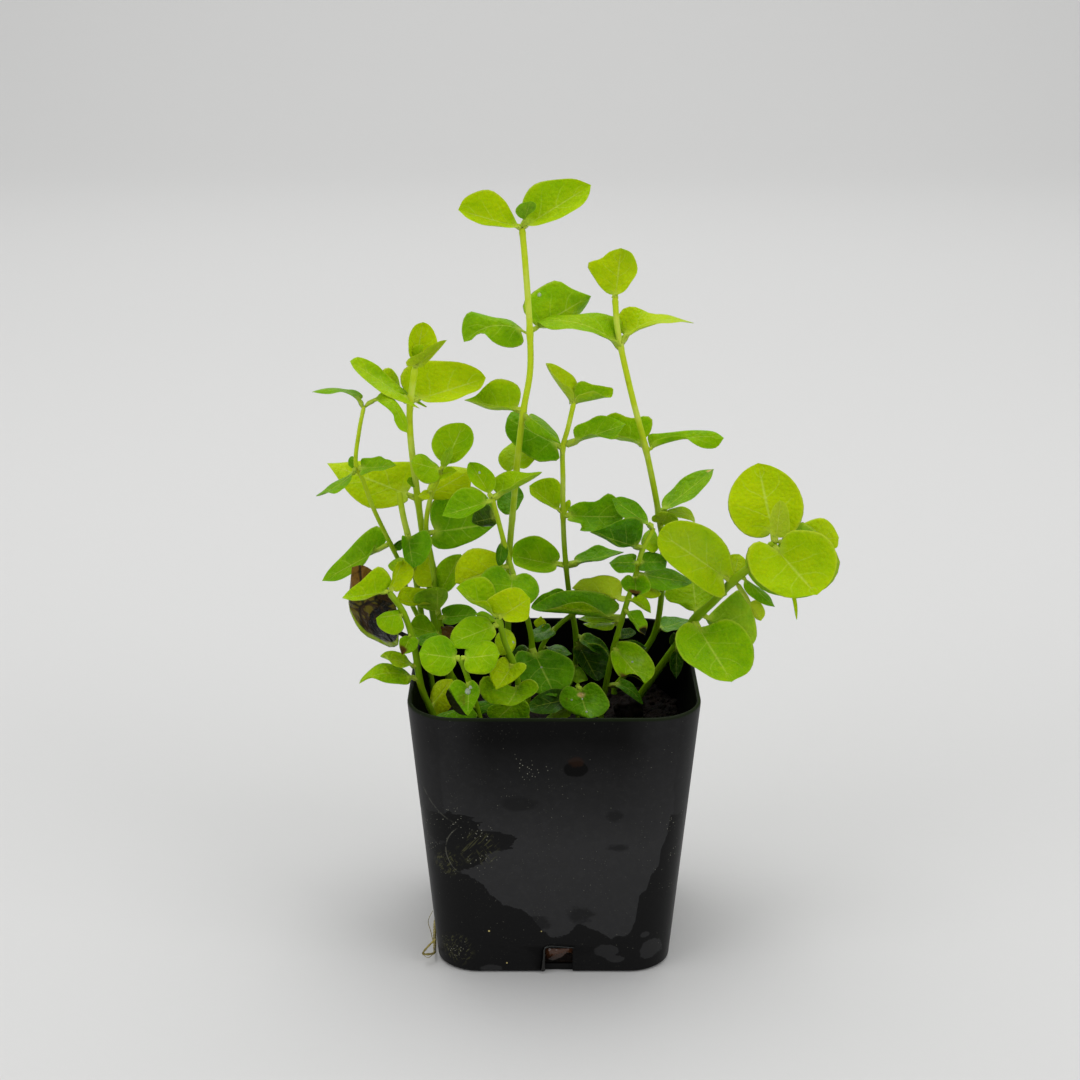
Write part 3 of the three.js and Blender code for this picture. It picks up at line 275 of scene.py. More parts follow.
SIDE = Shoot("side", (0.5, 0.62), ((442, 470, -2), (436, 483, -2), (430, 500, -1), (426, 528, 0), (432, 560, 2),
    (438, 610, 3)), (-20, 3), (
    Leaf((443, 468), (464, 423), (433, 440), (473, 444), 10, 8.6, "fnn", FRESH, 0.05, push=1.5, crease=0.08,
         own=True, sides=((437, 458, 432, 448, 432, 440, 437, 431, 447, 425, 456, 423),
         (455, 463, 465, 457, 472, 447, 474, 437, 471, 428))),
    Leaf((443, 468), (451, 447), (442, 456), (452, 458), 4.6, 2.6, "nnn", FRESH, push=-1.5),
    Leaf((442, 470), (411, 462), (427, 453), (426, 483), 7.5, 6.4, "nfn", FRESH, 0.1,
         sides=((438, 466, 421, 454, 414, 456), (438, 480, 429, 484, 420, 481, 413, 471)), drops=((418, 468, 0.35),
         (422, 470, 0.3), (426, 471, 0.22))),
    Leaf((440, 474), (457, 471), (448, 466), (448, 480), 4, 3.6, "nnn", FRESH, 0.15, sides=((446, 467, 452, 467),
         (432, 481, 441, 480, 450, 476))),
    Leaf((434, 492), (418, 496), (428, 478), (424, 490), 4, 3, "nfn", FRESH, 0.45, stalk=0.3,
         sides=((430, 491, 424, 490), (430, 498, 424, 500))),
    Leaf((427, 533), (498, 523), (462, 512), (458, 549), 15.5, 9.5, "ffn", GREEN, push=1, own=True,
         sides=((430, 520, 431, 505, 437, 496, 448, 492, 461, 486, 474, 488, 488, 498),
         (430, 540, 437, 549, 450, 550, 463, 545, 479, 538))),
    Leaf((436, 592), (427, 556), (418, 572), (437, 570), 7.6, 5, "nnn", SPRING, 0.35,
         sides=((419, 586, 414, 577, 416, 565, 421, 558), (431, 585, 435, 577, 437, 568, 433, 558))),
    Leaf((438, 598), (461, 554), (436, 556), (466, 580), 12, 9, "nfn", GREEN, 0.25, push=-2,
         sides=((434, 580, 437, 568, 443, 560, 452, 555), (440, 592, 450, 591, 457, 583, 468, 568, 466, 560))),
    Leaf((438, 604), (396, 600), (412, 587), (407, 606), 9, 5.5, "nfn", FRESH, 0.35, push=-1,
         sides=((428, 590, 420, 588, 402, 588), (424, 602, 415, 606, 405, 605))),
    Leaf((438, 612), (438, 587), (413, 600), (448, 600), 8, 8.4, "nnn", GREEN, 0.15,
         sides=((424, 610, 414, 604, 413, 598, 420, 591), (440, 609, 448, 597, 445, 590))),
    Leaf((438, 634), (409, 626), (424, 614), (419, 638), 6.6, 6, "nfn", GREEN, 0.25,
         sides=((430, 620, 424, 615, 416, 616), (422, 639, 414, 636, 410, 630))),
    Leaf((438, 620), (478, 614), (458, 604), (454, 625), 9.6, 5.5, "nfn", DEEP, 0.15,
         sides=((442, 610, 458, 604, 467, 605, 474, 609), (442, 622, 452, 625, 472, 618))),
    Leaf((438, 628), (457, 631), (447, 626), (447, 639), 5, 3, "nfn", DEEP, sides=((440, 628, 448, 626, 454, 627),
         (442, 635, 449, 639, 454, 636)), marks=(Mark(STAIN, (0.5, 0), (0.8, 2)),)),
))
INNER = Shoot("inner", (0.5, 0.65), ((492, 498, -6), (500, 527, -5), (506, 550, -5), (513, 574, -4), (521, 600, 0),
    (529, 625, 4), (532, 648, 6)), (-6, 5), (
    Leaf((490, 495), (470, 462), (468, 483), (491, 474), 8.4, 5.6, "nnn", FRESH, 0.05, crease=0.1,
         sides=((481, 490, 472, 483, 467, 472, 468, 464), (494, 489, 496, 481, 493, 473, 479, 463)),
         drops=((479, 474, 0.3),)),
    Leaf((494, 493), (542, 472), (516, 474), (519, 488), 11.6, 5.6, "nfn", FRESH, 0.1, crease=0.12,
         sides=((491, 485, 504, 474, 512, 472, 526, 473), (500, 492, 510, 488, 520, 481, 532, 477))),
    Leaf((489, 502), (442, 516), (462, 487), (474, 517), 11.5, 7.4, "nfn", FRESH, push=-1, own=True,
         sides=((482, 493, 472, 488, 462, 488, 451, 497), (485, 506, 463, 518, 451, 518))),
    Leaf((498, 516), (472, 522), (481, 504), (490, 527), 6.5, 5.5, "fff", SHADE, push=1.5),
    Leaf((503, 540), (499, 566), (496, 553), (508, 555), 5.6, 3, "fff", DEEP),
    Leaf((509, 566), (455, 583), (478, 550), (487, 593), 12.5, 9.5, "fff", LIME, push=1.5,
         sides=((502, 556, 486, 549, 468, 550, 456, 565), (502, 570, 486, 575, 470, 586))),
    Leaf((514, 574), (509, 606), (480, 588), (539, 588), 9, 12.6, "nff", FRESH, -0.1, lobe=0.2, own=True,
         sides=((500, 567, 486, 571, 479, 581, 484, 595), (526, 573, 537, 582, 539, 594, 530, 606))),
    Leaf((531, 649), (556, 697), (573, 661), (515, 680), 12.5, 13, "nnn", DEEP, 0.1, lobe=0.1, push=-2, own=True,
         sides=((548, 650, 564, 655, 575, 667, 571, 686), (520, 652, 514, 664, 522, 682, 538, 694)),
         drops=((540, 668, 0.25), (556, 690, 0.2))),
    Leaf((531, 649), (511, 659), (520, 646), (521, 665), 5.6, 4, "ffn", SHADE, push=2,
         sides=((524, 645, 517, 647, 512, 653), (527, 661, 520, 666, 514, 663))),
))
CENTRE = Shoot("centre", (0.52, 0.62), ((574, 402, 5), (568, 428, 5), (563, 447, 6), (563, 480, 7), (563, 512, 8),
    (564, 540, 9), (566, 566, 10), (570, 600, 12), (576, 637, 15), (575, 665, 17)), (3, 20), (
    Leaf((575, 397), (546, 363), (566, 372), (560, 388), 10, 7, "nfn", SPRING, 0.25, lobe=0.15, stalk=0.03,
         crease=0.12, sides=((578, 386, 552, 364), (573, 396, 565, 386, 556, 379, 549, 371))),
    Leaf((577, 397), (613, 394), (592, 384), (594, 398), 9, 6, "ffn", SPRING, -0.15, stalk=0.03, crease=0.1,
         sides=((575, 387, 582, 382, 594, 385, 606, 388, 613, 389), (576, 397, 593, 393, 611, 398))),
    Leaf((561, 448), (507, 418), (541, 414), (530, 459), 13.5, 10.4, "nfn", GREEN, push=5, own=True,
         sides=((560, 440, 513, 411), (559, 460, 549, 461, 539, 462, 509, 440, 505, 430))),
    Leaf((566, 446), (626, 424), (598, 415), (602, 439), 14, 8, "nfn", GREEN, 0.2, stalk=0.2, wave=0.05,
         sides=((575, 439, 574, 430, 582, 422, 606, 417), (577, 440, 588, 436, 601, 437, 614, 438))),
    Leaf((560, 513), (529, 486), (554, 479), (539, 504), 9.2, 6.6, "nfn", SPRING,
         sides=((561, 497, 560, 484, 554, 478, 545, 478, 535, 482), (557, 510, 548, 505, 531, 495))),
    Leaf((564, 512), (570, 500), (565, 503), (570, 508), 2.6, 1.4, "fff", SPRING),
    Leaf((566, 515), (624, 517), (606, 493), (592, 531), 13.5, 9.4, "nfn", GREEN, wave=0.05, own=True,
         sides=((568, 510, 580, 503, 594, 501, 608, 494, 616, 498, 622, 508),
         (567, 520, 582, 525, 581, 533, 588, 533, 604, 531, 617, 526))),
    Leaf((561, 567), (512, 555), (533, 537), (534, 572), 11.5, 8.6, "nfn", DEEP, 0.4, stalk=0.18, crease=0.15,
         own=True, sides=((560, 556, 540, 538, 525, 538, 514, 545), (556, 570, 544, 574, 515, 566))),
    Leaf((570, 565), (624, 552), (597, 546), (599, 563), 12, 7, "ffn", GREEN, stalk=0.18,
         sides=((574, 560, 579, 554, 598, 546, 611, 550), (597, 561))),
    Leaf((569, 598), (531, 607), (552, 590), (549, 611), 9.6, 7, "nfn", DEEP, 0.2),
    Leaf((579, 640), (598, 681), (577, 662), (609, 655), 10, 7.6, "nnn", SHADE),
    Leaf((577, 636), (609, 655), (597, 637), (590, 650), 9, 5, "ffn", DEEP, -0.3),
    Leaf((575, 664), (585, 681), (583, 670), (570, 677), 5, 4, "nnn", DEEP, 0.3,
         sides=((572, 668, 571, 677, 576, 683), (580, 667, 588, 680))),
))
FRONT = Shoot("front", (0.48, 0.68), ((654, 528, 1), (642, 551, 0), (635, 578, 0), (628, 599, 0), (621, 622, 1),
    (614, 647, 3), (606, 685, 6)), (10.5, 8), (
    Leaf((653, 523), (612, 499), (634, 496), (632, 522), 10.6, 7.5, "ffn", GREEN, push=1,
         sides=((646, 515, 633, 500, 622, 497), (646, 524, 633, 521, 620, 517))),
    Leaf((643, 549), (590, 532), (620, 518), (608, 538), 13.6, 8.6, "nfn", DEEP, 0.05, wave=0.05, own=True,
         sides=((643, 535, 643, 522, 632, 518, 618, 521, 604, 528), (634, 546, 624, 548, 615, 542, 604, 536))),
    Leaf((639, 562), (609, 563), (626, 552), (624, 574), 7.5, 7, "nfn", DEEP, 0.15,
         sides=((636, 556, 626, 554, 616, 558), (634, 573, 619, 573, 613, 569))),
    Leaf((638, 574), (692, 583), (665, 570), (663, 589), 12, 7, "ffn", DEEP, 0.2, push=5, own=True,
         sides=((645, 571, 655, 568, 675, 571, 685, 576), (645, 584, 655, 590, 670, 591, 682, 588))),
    Leaf((635, 577), (636, 597), (620, 586), (650, 586), 6.5, 7, "nnn", DEEP, 0.3, crease=0.12,
         sides=((627, 576, 621, 582, 623, 590), (641, 576, 650, 583, 650, 591)),
         marks=(Mark(STAIN, (0.85, 0.1), (0.3, 0.7)), Mark(ROT, (1, 0.1), (0.22, 0.9)))),
    Leaf((628, 600), (572, 588), (602, 574), (602, 601), 13, 8.4, "fff", SPRING, 0.3, push=4,
         sides=((620, 582, 602, 575, 590, 578, 580, 580), (600, 602, 586, 598))),
    Leaf((621, 618), (531, 608), (575, 590), (575, 605), 17.5, 7, "nfn", DEEP, 0.15, wave=0.04,
         sides=((620, 606, 611, 597, 575, 591, 556, 593, 542, 600), (608, 617, 585, 602, 570, 603, 541, 612)),
         marks=(Mark(WET, (0.5, 0.2), (0.5, 0.8)),)),
    Leaf((619, 620), (578, 619), (600, 611), (600, 624), 9, 5, "nfn", GREEN, 0.15, push=3,
         sides=((611, 614, 599, 611), (609, 623, 587, 622)), marks=(Mark(WET, (0.5, 0.2), (0.6, 0.9)),)),
    Leaf((619, 624), (583, 624), (600, 622), (602, 634), 9, 5, "ffn", DEEP, 0.45, push=4, sides=((599, 621),
         (611, 630, 590, 628)), marks=(Mark(WET, (0.5, 0.2), (0.6, 0.9)),)),
    Leaf((629, 598), (651, 613), (643, 600), (639, 608), 5.4, 2.8, "nfn", FRESH, 0.15,
         sides=((637, 594, 645, 597, 650, 605), (633, 601, 640, 603, 646, 609))),
    Leaf((625, 609), (645, 635), (641, 615), (631, 623), 8, 4.6, "nfn", GREEN, wave=0.06,
         sides=((640, 611, 646, 619, 647, 627), (627, 614, 639, 631)), marks=(Mark(STAIN, (0.9, 0), (0.2, 1.2)),
         Mark(ROT, (1, 0.1), (0.25, 1)))),
    Leaf((612, 646), (645, 684), (652, 655), (614, 673), 11.5, 9.6, "nnn", FRESH, own=True,
         sides=((616, 642, 631, 643, 641, 648, 655, 667, 653, 676),
         (611, 652, 615, 671, 622, 678, 630, 675, 639, 677)), marks=(Mark(WET, (0.4, 0.1), (0.6, 1)),
         Mark(STAIN, (0.75, -0.8), (0.3, 0.35)), Mark(ROT, (0.8, -0.95), (0.25, 0.2))), drops=((628, 655, 0.2),
         (635, 661, 0.25), (622, 662, 0.2), (641, 668, 0.18))),
    Leaf((607, 688), (643, 704), (630, 682), (624, 692), 9, 4, "nfn", FRESH, -0.35, via=(625, 687), stalk=0.3),
    Leaf((640, 563), (667, 562), (654, 552), (654, 571), 6.5, 4.6, "ffn", DEEP, 0.05,
         sides=((642, 554, 654, 552, 663, 556), (638, 570, 665, 568))),
    Leaf((633, 582), (661, 594), (652, 586), (646, 598), 7, 4, "fff", SPRING, 0.05),
    Leaf((617, 636), (636, 633), (626, 628), (626, 639), 5, 3.4, "ffn", DEEP, -0.25),
    Leaf((642, 551), (653, 527), (641, 540), (659, 545), 6.4, 4, "ffn", SPRING, -0.1, push=1.5,
         sides=((641, 543, 645, 533), (654, 553, 659, 547, 657, 535))),
    Leaf((613, 645), (647, 648), (631, 640), (631, 651), 7.6, 3, "ffn", SHADE, push=2,
         sides=((622, 642, 630, 640, 640, 643), (624, 650, 634, 652, 642, 651))),
))
OUTER = Shoot("outer", (0.88, 0.85), ((775, 543, -1), (751, 566, 1), (732, 582, 3), (713, 602, 6), (694, 620, 8),
    (675, 647, 11), (656, 673, 14)), (19, 17), (
    Leaf((773, 541), (758, 463), (728, 505), (803, 503), 16.5, 15.6, "fff", LIME, -0.05, lobe=0.08, push=2.5,
         own=True, sides=((762, 538, 747, 536, 734, 524, 728, 508, 731, 488, 743, 472),
         (786, 538, 799, 526, 804, 508, 799, 490, 787, 475, 772, 466))),
    Leaf((775, 546), (817, 595), (834, 550), (753, 582), 14.6, 18, "nnn", LIME, -0.1, lobe=0.25, push=-2, own=True,
         sides=((790, 531, 812, 531, 830, 541, 838, 558, 834, 578),
         (760, 543, 748, 553, 750, 572, 764, 587, 790, 599))),
    Leaf((776, 541), (780, 500), (771, 519), (788, 517), 9, 4, "fnn", LIME, 0.35, push=-2.5, crease=0.03,
         sides=((772, 532, 770, 517, 775, 505), (788, 536, 789, 515, 785, 503))),
    Leaf((777, 545), (839, 538), (810, 519), (834, 548), 14.5, 8, "fff", LIME, push=4, stalk=0.35,
         sides=((795, 530, 820, 518, 832, 524), (800, 548, 836, 548))),
    Leaf((764, 554), (795, 599), (747, 580), (809, 562), 12.5, 13.5, "fff", FRESH, push=5,
         sides=((752, 545, 745, 560, 750, 578, 765, 592), (799, 523, 825, 540, 840, 560, 833, 582, 812, 596))),
    Leaf((767, 551), (797, 620), (788, 586), (790, 586), 15, 1, "fff", SPRING, via=(792, 585), push=2),
    Leaf((741, 575), (775, 607), (766, 589), (745, 599), 10.5, 6.6, "ffn", GREEN, 0.05, push=2, sides=((769, 596),
         (743, 588, 764, 605))),
    Leaf((738, 588), (659, 532), (722, 545), (692, 590), 19, 12.6, "nnn", SPRING, lobe=0.1, push=-5, own=True,
         sides=((735, 580, 732, 566, 728, 548, 716, 533, 700, 524, 680, 520, 666, 524),
         (724, 598, 708, 593, 694, 583, 663, 557, 657, 543)), marks=(Mark(WET, (0.5, 0.3), (0.5, 0.5)),)),
    Leaf((696, 622), (732, 682), (751, 640), (684, 662), 15, 15.4, "nnn", SPRING, -0.2, lobe=0.12, push=-6.5,
         own=True, sides=((712, 624, 727, 621, 742, 628, 752, 642, 754, 660, 747, 674),
         (688, 623, 678, 629, 675, 642, 681, 657, 693, 669, 712, 679))),
    Leaf((701, 615), (752, 646), (749, 603), (712, 640), 13, 10.5, "fff", FRESH, 0.05, push=5, own=True,
         sides=((741, 589, 750, 603, 757, 636), (702, 612, 712, 630, 731, 642))),
    Leaf((735, 580), (761, 621), (765, 608), (752, 616), 10.5, 3, "fff", FRESH, 0.45, push=4, stalk=0.55,
         sides=((757, 600, 764, 608, 765, 615), (750, 603, 752, 612, 756, 619))),
    Leaf((697, 616), (692, 573), (665, 594), (719, 594), 10.2, 11.6, "fff", FRESH, 0.1, lobe=0.1, push=2,
         sides=((689, 610, 680, 605, 668, 603, 664, 594, 676, 582), (716, 600, 728, 594, 712, 580))),
    Leaf((732, 581), (739, 554), (724, 567), (747, 564), 6.4, 5, "fff", SPRING, 0.3, push=1.5,
         sides=((727, 572, 724, 562, 731, 555), (740, 576, 747, 566, 745, 559))),
    Leaf((676, 644), (676, 679), (670, 660), (683, 660), 8, 4.5, "nnn", SHADE, push=-1,
         sides=((671, 655, 670, 667), (683, 655, 682, 668))),
    Leaf((676, 646), (674, 632), (669, 640), (677, 640), 3.6, 1.8, "nnn", SHADE, sides=((670, 644, 670, 637),
         (677, 642, 676, 636))),
))
RIM = Shoot("rim", (0.65, 0.75), ((389, 592, -10), (402, 610, -10), (412, 636, -11), (417, 663, -12),
    (421, 686, -12), (430, 708, -12)), (-22, -11), (
    Leaf((387, 590), (342, 598), (373, 569), (362, 600), 10.2, 7, "nfn", SPRING, own=True,
         sides=((392, 582, 386, 571, 378, 567, 360, 582, 349, 590), (378, 594, 353, 601))),
    Leaf((390, 592), (403, 560), (391, 573), (413, 580), 7.6, 5, "fnn", SPRING, 0.15,
         sides=((388, 589, 392, 580, 393, 570, 397, 563), (397, 592, 405, 586, 412, 579, 414, 571, 410, 564))),
    Leaf((405, 614), (376, 618), (393, 609), (392, 634), 6.6, 5.4, "nfn", SPRING, -0.15,
         sides=((404, 608, 395, 611, 385, 612), (404, 628, 396, 635, 385, 633, 378, 626))),
    Leaf((411, 634), (402, 655), (397, 641), (418, 648), 5.6, 5, "nnn", FRESH,
         sides=((404, 636, 399, 640, 399, 647), (416, 638, 418, 646, 412, 652)),
         marks=(Mark(STAIN, (0.9, 0.3), (0.35, 0.9)),)),
    Leaf((414, 642), (442, 637), (430, 631), (428, 645), 6.2, 4, "ffn", FRESH, -0.3, push=-1.5,
         sides=((420, 637, 435, 633), (421, 646, 431, 645))),
    Leaf((415, 666), (380, 656), (400, 652), (396, 667), 8.4, 5.4, "nfn", SPRING,
         sides=((409, 660, 404, 655, 387, 651), (403, 668, 394, 666, 388, 660, 385, 655))),
    Leaf((418, 681), (359, 684), (390, 662), (394, 686), 13.4, 6.6, "nfn", SPRING, -0.05, via=(388, 673), own=True,
         sides=((410, 675, 400, 667, 388, 663, 377, 665, 361, 679),
         (409, 684, 397, 685, 386, 683, 367, 677, 363, 681))),
    Leaf((430, 708), (452, 679), (432, 690), (456, 703), 9, 5.4, "ffn", FRESH, 0.45,
         sides=((430, 702, 432, 690, 438, 681), (436, 717, 447, 712, 454, 703, 457, 690))),
    Leaf((411, 640), (352, 567), (352, 622), (395, 590), 20, 13, "fff", DEAD, via=(368, 608), lobe=0.1, push=4,
         wave=0.06, own=True, sides=((398, 645, 388, 647, 378, 642, 366, 635, 351, 611, 350, 596, 350, 580),
         (404, 625, 396, 606, 390, 592, 380, 577, 366, 566))),
))
LOW = Shoot("low", (0.58, 0.62), ((460, 657, -21), (467, 676, -21), (474, 698, -19)), (-13, -17), (
    Leaf((458, 659), (419, 653), (439, 636), (439, 677), 8.4, 8.6, "nfn", FRESH, -0.05, own=True,
         sides=((457, 650, 444, 636, 426, 640), (456, 664, 447, 675, 438, 676, 429, 673, 422, 666))),
    Leaf((463, 658), (500, 654), (481, 640), (481, 676), 8.2, 7.8, "nfn", SPRING, -0.2, own=True,
         sides=((465, 652, 470, 645, 479, 641, 489, 641, 496, 645), (464, 666, 469, 673, 487, 674, 494, 669))),
    Leaf((469, 681), (468, 716), (448, 692), (479, 694), 8.2, 7, "nnn", SPRING, -0.35, own=True,
         sides=((458, 680, 452, 683, 449, 689, 446, 694, 453, 709, 461, 715),
         (472, 680, 478, 685, 480, 692, 478, 700)), marks=(Mark(STAIN, (0.5, 0.3), (0.34, 0.4), 0.42),
         Mark(ROT, (0.86, 1), (0.46, 0.52)), Mark(WET, (0.2, -0.2), (0.2, 0.3))), drops=((468, 692, 0.8),
         (471, 687, 0.45))),
    Leaf((472, 706), (432, 719), (455, 706), (455, 722), 8.6, 5, "ffn", FRESH, -0.15,
         sides=((462, 711, 450, 712, 438, 715), (478, 718, 445, 721))),
))
MIDDLE = Shoot("middle", (0.6, 0.62), ((499, 618, -16), (504, 640, -16), (513, 662, -15), (520, 690, -13)),
    (-4, -12), (
    Leaf((498, 617), (530, 598), (500, 590), (520, 621), 9.2, 8, "nfn", LIME, -0.05, own=True,
         sides=((490, 612, 485, 604, 506, 589, 519, 588), (506, 621, 527, 620, 531, 611))),
    Leaf((495, 601), (456, 588), (480, 577), (470, 601), 8.2, 6, "nfn", SPRING, -0.1,
         sides=((495, 588, 489, 580, 481, 577, 463, 582), (487, 602, 475, 601, 466, 597))),
    Leaf((496, 624), (450, 643), (467, 619), (481, 650), 10.6, 7.6, "ffn", FRESH, crease=0.08, own=True,
         sides=((486, 618, 466, 618, 456, 626, 451, 635), (496, 635, 475, 650, 463, 649, 455, 648))),
    Leaf((511, 657), (504, 628), (492, 641), (516, 642), 6.4, 5.2, "fff", FRESH, 0.2, push=2,
         sides=((500, 655, 495, 647, 496, 636), (510, 655, 516, 645, 513, 634)), drops=((511.5, 642, 0.5),
         (508, 652, 0.25))),
    Leaf((512, 664), (496, 690), (489, 668), (526, 671), 7.2, 7.6, "nfn", FRESH, 0.2, crease=0.12,
         sides=((505, 658, 499, 660, 492, 668, 490, 677), (518, 663, 526, 665, 526, 671, 508, 685))),
    Leaf((519, 686), (507, 706), (480, 692), (539, 689), 7.4, 12.4, "nfn", FRESH, lobe=0.1, own=True,
         sides=((500, 682, 489, 678, 483, 679, 479, 688, 482, 697, 493, 704),
         (524, 681, 531, 679, 539, 687, 533, 697, 521, 704))),
    Leaf((519, 696), (494, 722), (490, 706), (526, 716), 7.4, 7, "ffn", GREEN, 0.1, sides=((489, 707, 487, 714),
         (527, 702, 530, 712, 524, 720))),
    Leaf((516, 696), (465, 712), (486, 700), (486, 716), 10.5, 4.4, "ffn", DEEP, push=2,
         sides=((500, 698, 472, 704), (500, 708, 472, 716))),
    Leaf((498, 622), (475, 614), (486, 611), (486, 624), 5.5, 3, "fff", FRESH, push=2, sides=((490, 614, 482, 611),
         (492, 623, 483, 620))),
))
FLOOR = Shoot("floor", (0.45, 0.5), ((578, 684, -5), (578, 700, -5)), (5, -5), (
    Leaf((577, 686), (589, 719), (560, 700), (610, 704), 8.6, 10.8, "nfn", GREEN, own=True,
         sides=((566, 687, 559, 696, 562, 707, 574, 715), (592, 683, 610, 704, 603, 715)),
         marks=(Mark(PALE, (0.18, 0), (0.1, 0.3)), Mark(STAIN, (0.4, 0.75), (0.04, 0.08)),
         Mark(WET, (0.8, -0.5), (0.4, 0.6))), drops=((571, 699, 0.22), (577, 704, 0.18), (583, 698, 0.2),
         (590, 706, 0.2), (569, 708, 0.18), (597, 699, 0.2), (586, 712, 0.25))),
    Leaf((578, 704), (545, 719), (564, 707), (560, 723), 8, 5, "ffn", DEEP, 0.45),
    Leaf((577, 697), (528, 708), (549, 690), (550, 714), 10.4, 6, "ffn", DEEP, -0.15),
))
NEST = Shoot("nest", (0.5, 0.55), ((602, 603, 11), (575, 613, 10), (556, 628, 10), (540, 652, 10)), (0, 12), (
    Leaf((578, 614), (600, 609), (588, 598), (594, 611), 5.6, 3.4, "fff", SPRING, sides=((592, 608), (586, 616))),
    Leaf((555, 629), (529, 637), (541, 625), (541, 641), 6.4, 4.6, "nfn", DEEP, -0.05, sides=((548, 624, 533, 630),
         (556, 633, 546, 640, 536, 642)), marks=(Mark(WET, (0.5, 0.2), (0.6, 0.9)),)),
    Leaf((546, 648), (572, 654), (556, 644), (558, 658), 6, 4, "ffn", DEEP, sides=((548, 647, 556, 645, 564, 647),
         (552, 656, 560, 659)), marks=(Mark(WET, (0.5, 0.2), (0.6, 0.9)),)),
    Leaf((541, 632), (541, 616), (534, 622), (546, 622), 3.6, 2.6, "ffn", SPRING, 0.25,
         sides=((536, 627, 534, 622), (542, 627, 546, 623))),
))
SHOOTS = (TALL, RIGHT, LEFT, BENT, SHORT, SIDE, INNER, CENTRE, FRONT, OUTER, RIM, LOW, MIDDLE, FLOOR, NEST)


class Sight:
    """Lines of sight of the front view, a square frame, in millimetres."""

    FRAME = 1080.0
    FOCAL = 2119.0
    PITCH = math.radians(17.61)
    EYE = np.array([-2.9, -425.0, 223.0])
    TURN = np.array([[1.0, 0.0, 0.0],
                     [0.0, math.cos(PITCH), math.sin(PITCH)],
                     [0.0, -math.sin(PITCH), math.cos(PITCH)]])

    @classmethod
    def line(cls, spot: Spot) -> np.ndarray:
        """The direction of sight through a spot of the view."""
        line = cls.TURN @ ((spot[0] - cls.FRAME / 2) / cls.FOCAL, 1.0, (cls.FRAME / 2 - spot[1]) / cls.FOCAL)
        return line / np.linalg.norm(line)

    @classmethod
    def spot(cls, point: np.ndarray) -> Spot:
        """Where the view shows a point."""
        right, ahead, up = (point - cls.EYE) @ cls.TURN
        return (cls.FRAME / 2 + cls.FOCAL * right / ahead, cls.FRAME / 2 - cls.FOCAL * up / ahead)

    @classmethod
    def at_depth(cls, spot: Spot, depth: float) -> np.ndarray:
        """The point seen at a spot, at a depth behind the pot's middle."""
        line = cls.line(spot)
        return cls.EYE + line * (depth - cls.EYE[1]) / line[1]

    @classmethod
    def at_distance(cls, spot: Spot, start: np.ndarray, distance: float, lean: str) -> np.ndarray:
        """The point seen at a spot that lies a real distance from another point.

        Args:
            spot: Column and row.
            start: The other point.
            distance: Millimetres between the two.
            lean: n for the nearer of the two answers, f for the farther.

        Returns:
            The point, or the closest one on the line of sight where none is that near.
        """
        line = cls.line(spot)
        away = start - cls.EYE
        closest = float(line @ away)
        rest = closest * closest - float(away @ away) + distance * distance
        side = 1.0 if lean == "f" else -1.0
        return cls.EYE + line * (closest + side * math.sqrt(max(rest, 0.0)))


def step(operation: str, swapped: bool = False) -> Callable[..., "Wire"]:
    """A method that adds one Math node on a wire and other values, with the wire last where swapped.

    Args:
        operation: The Math node's operation.
        swapped: Whether the wire comes last.

    Returns:
        The method.
    """

    def method(self: "Wire", *others: "Value") -> "Wire":
        """Adds the node."""
        return self.nodes.maths(operation, *((*others, self) if swapped else (self, *others)))

    return method


class Wire:
    """A socket's value in a node tree; arithmetic on it adds Math nodes."""

    __add__ = __radd__ = step("ADD")
    __sub__ = step("SUBTRACT")
    __rsub__ = step("SUBTRACT", swapped=True)
    __mul__ = __rmul__ = step("MULTIPLY")
    __truediv__ = step("DIVIDE")
    __pow__ = step("POWER")
    __abs__ = step("ABSOLUTE")
    least = step("MINIMUM")
    most = step("MAXIMUM")
    fraction = step("FRACT")

    def __init__(self, nodes: "Nodes", socket: Any) -> None:
        """Keeps the socket and the tree that it belongs to."""
        self.nodes = nodes
        self.socket = socket

    def ease(self, low: float, high: float) -> "Wire":
        """A smooth rise from 0 at low to 1 at high; it falls where high is below low.

        Args:
            low: The value at 0.
            high: The value at 1.

        Returns:
            The rise.
        """
        sockets = {"Value": self, "From Min": low, "From Max": high}
        if low > high:
            sockets = {"Value": self, "From Min": high, "From Max": low, "To Min": 1.0, "To Max": 0.0}
        return self.nodes.node("ShaderNodeMapRange", sockets, "Result", interpolation_type="SMOOTHSTEP")


Value = Union[Wire, float, Sequence[float]]
Key = Union[str, int]


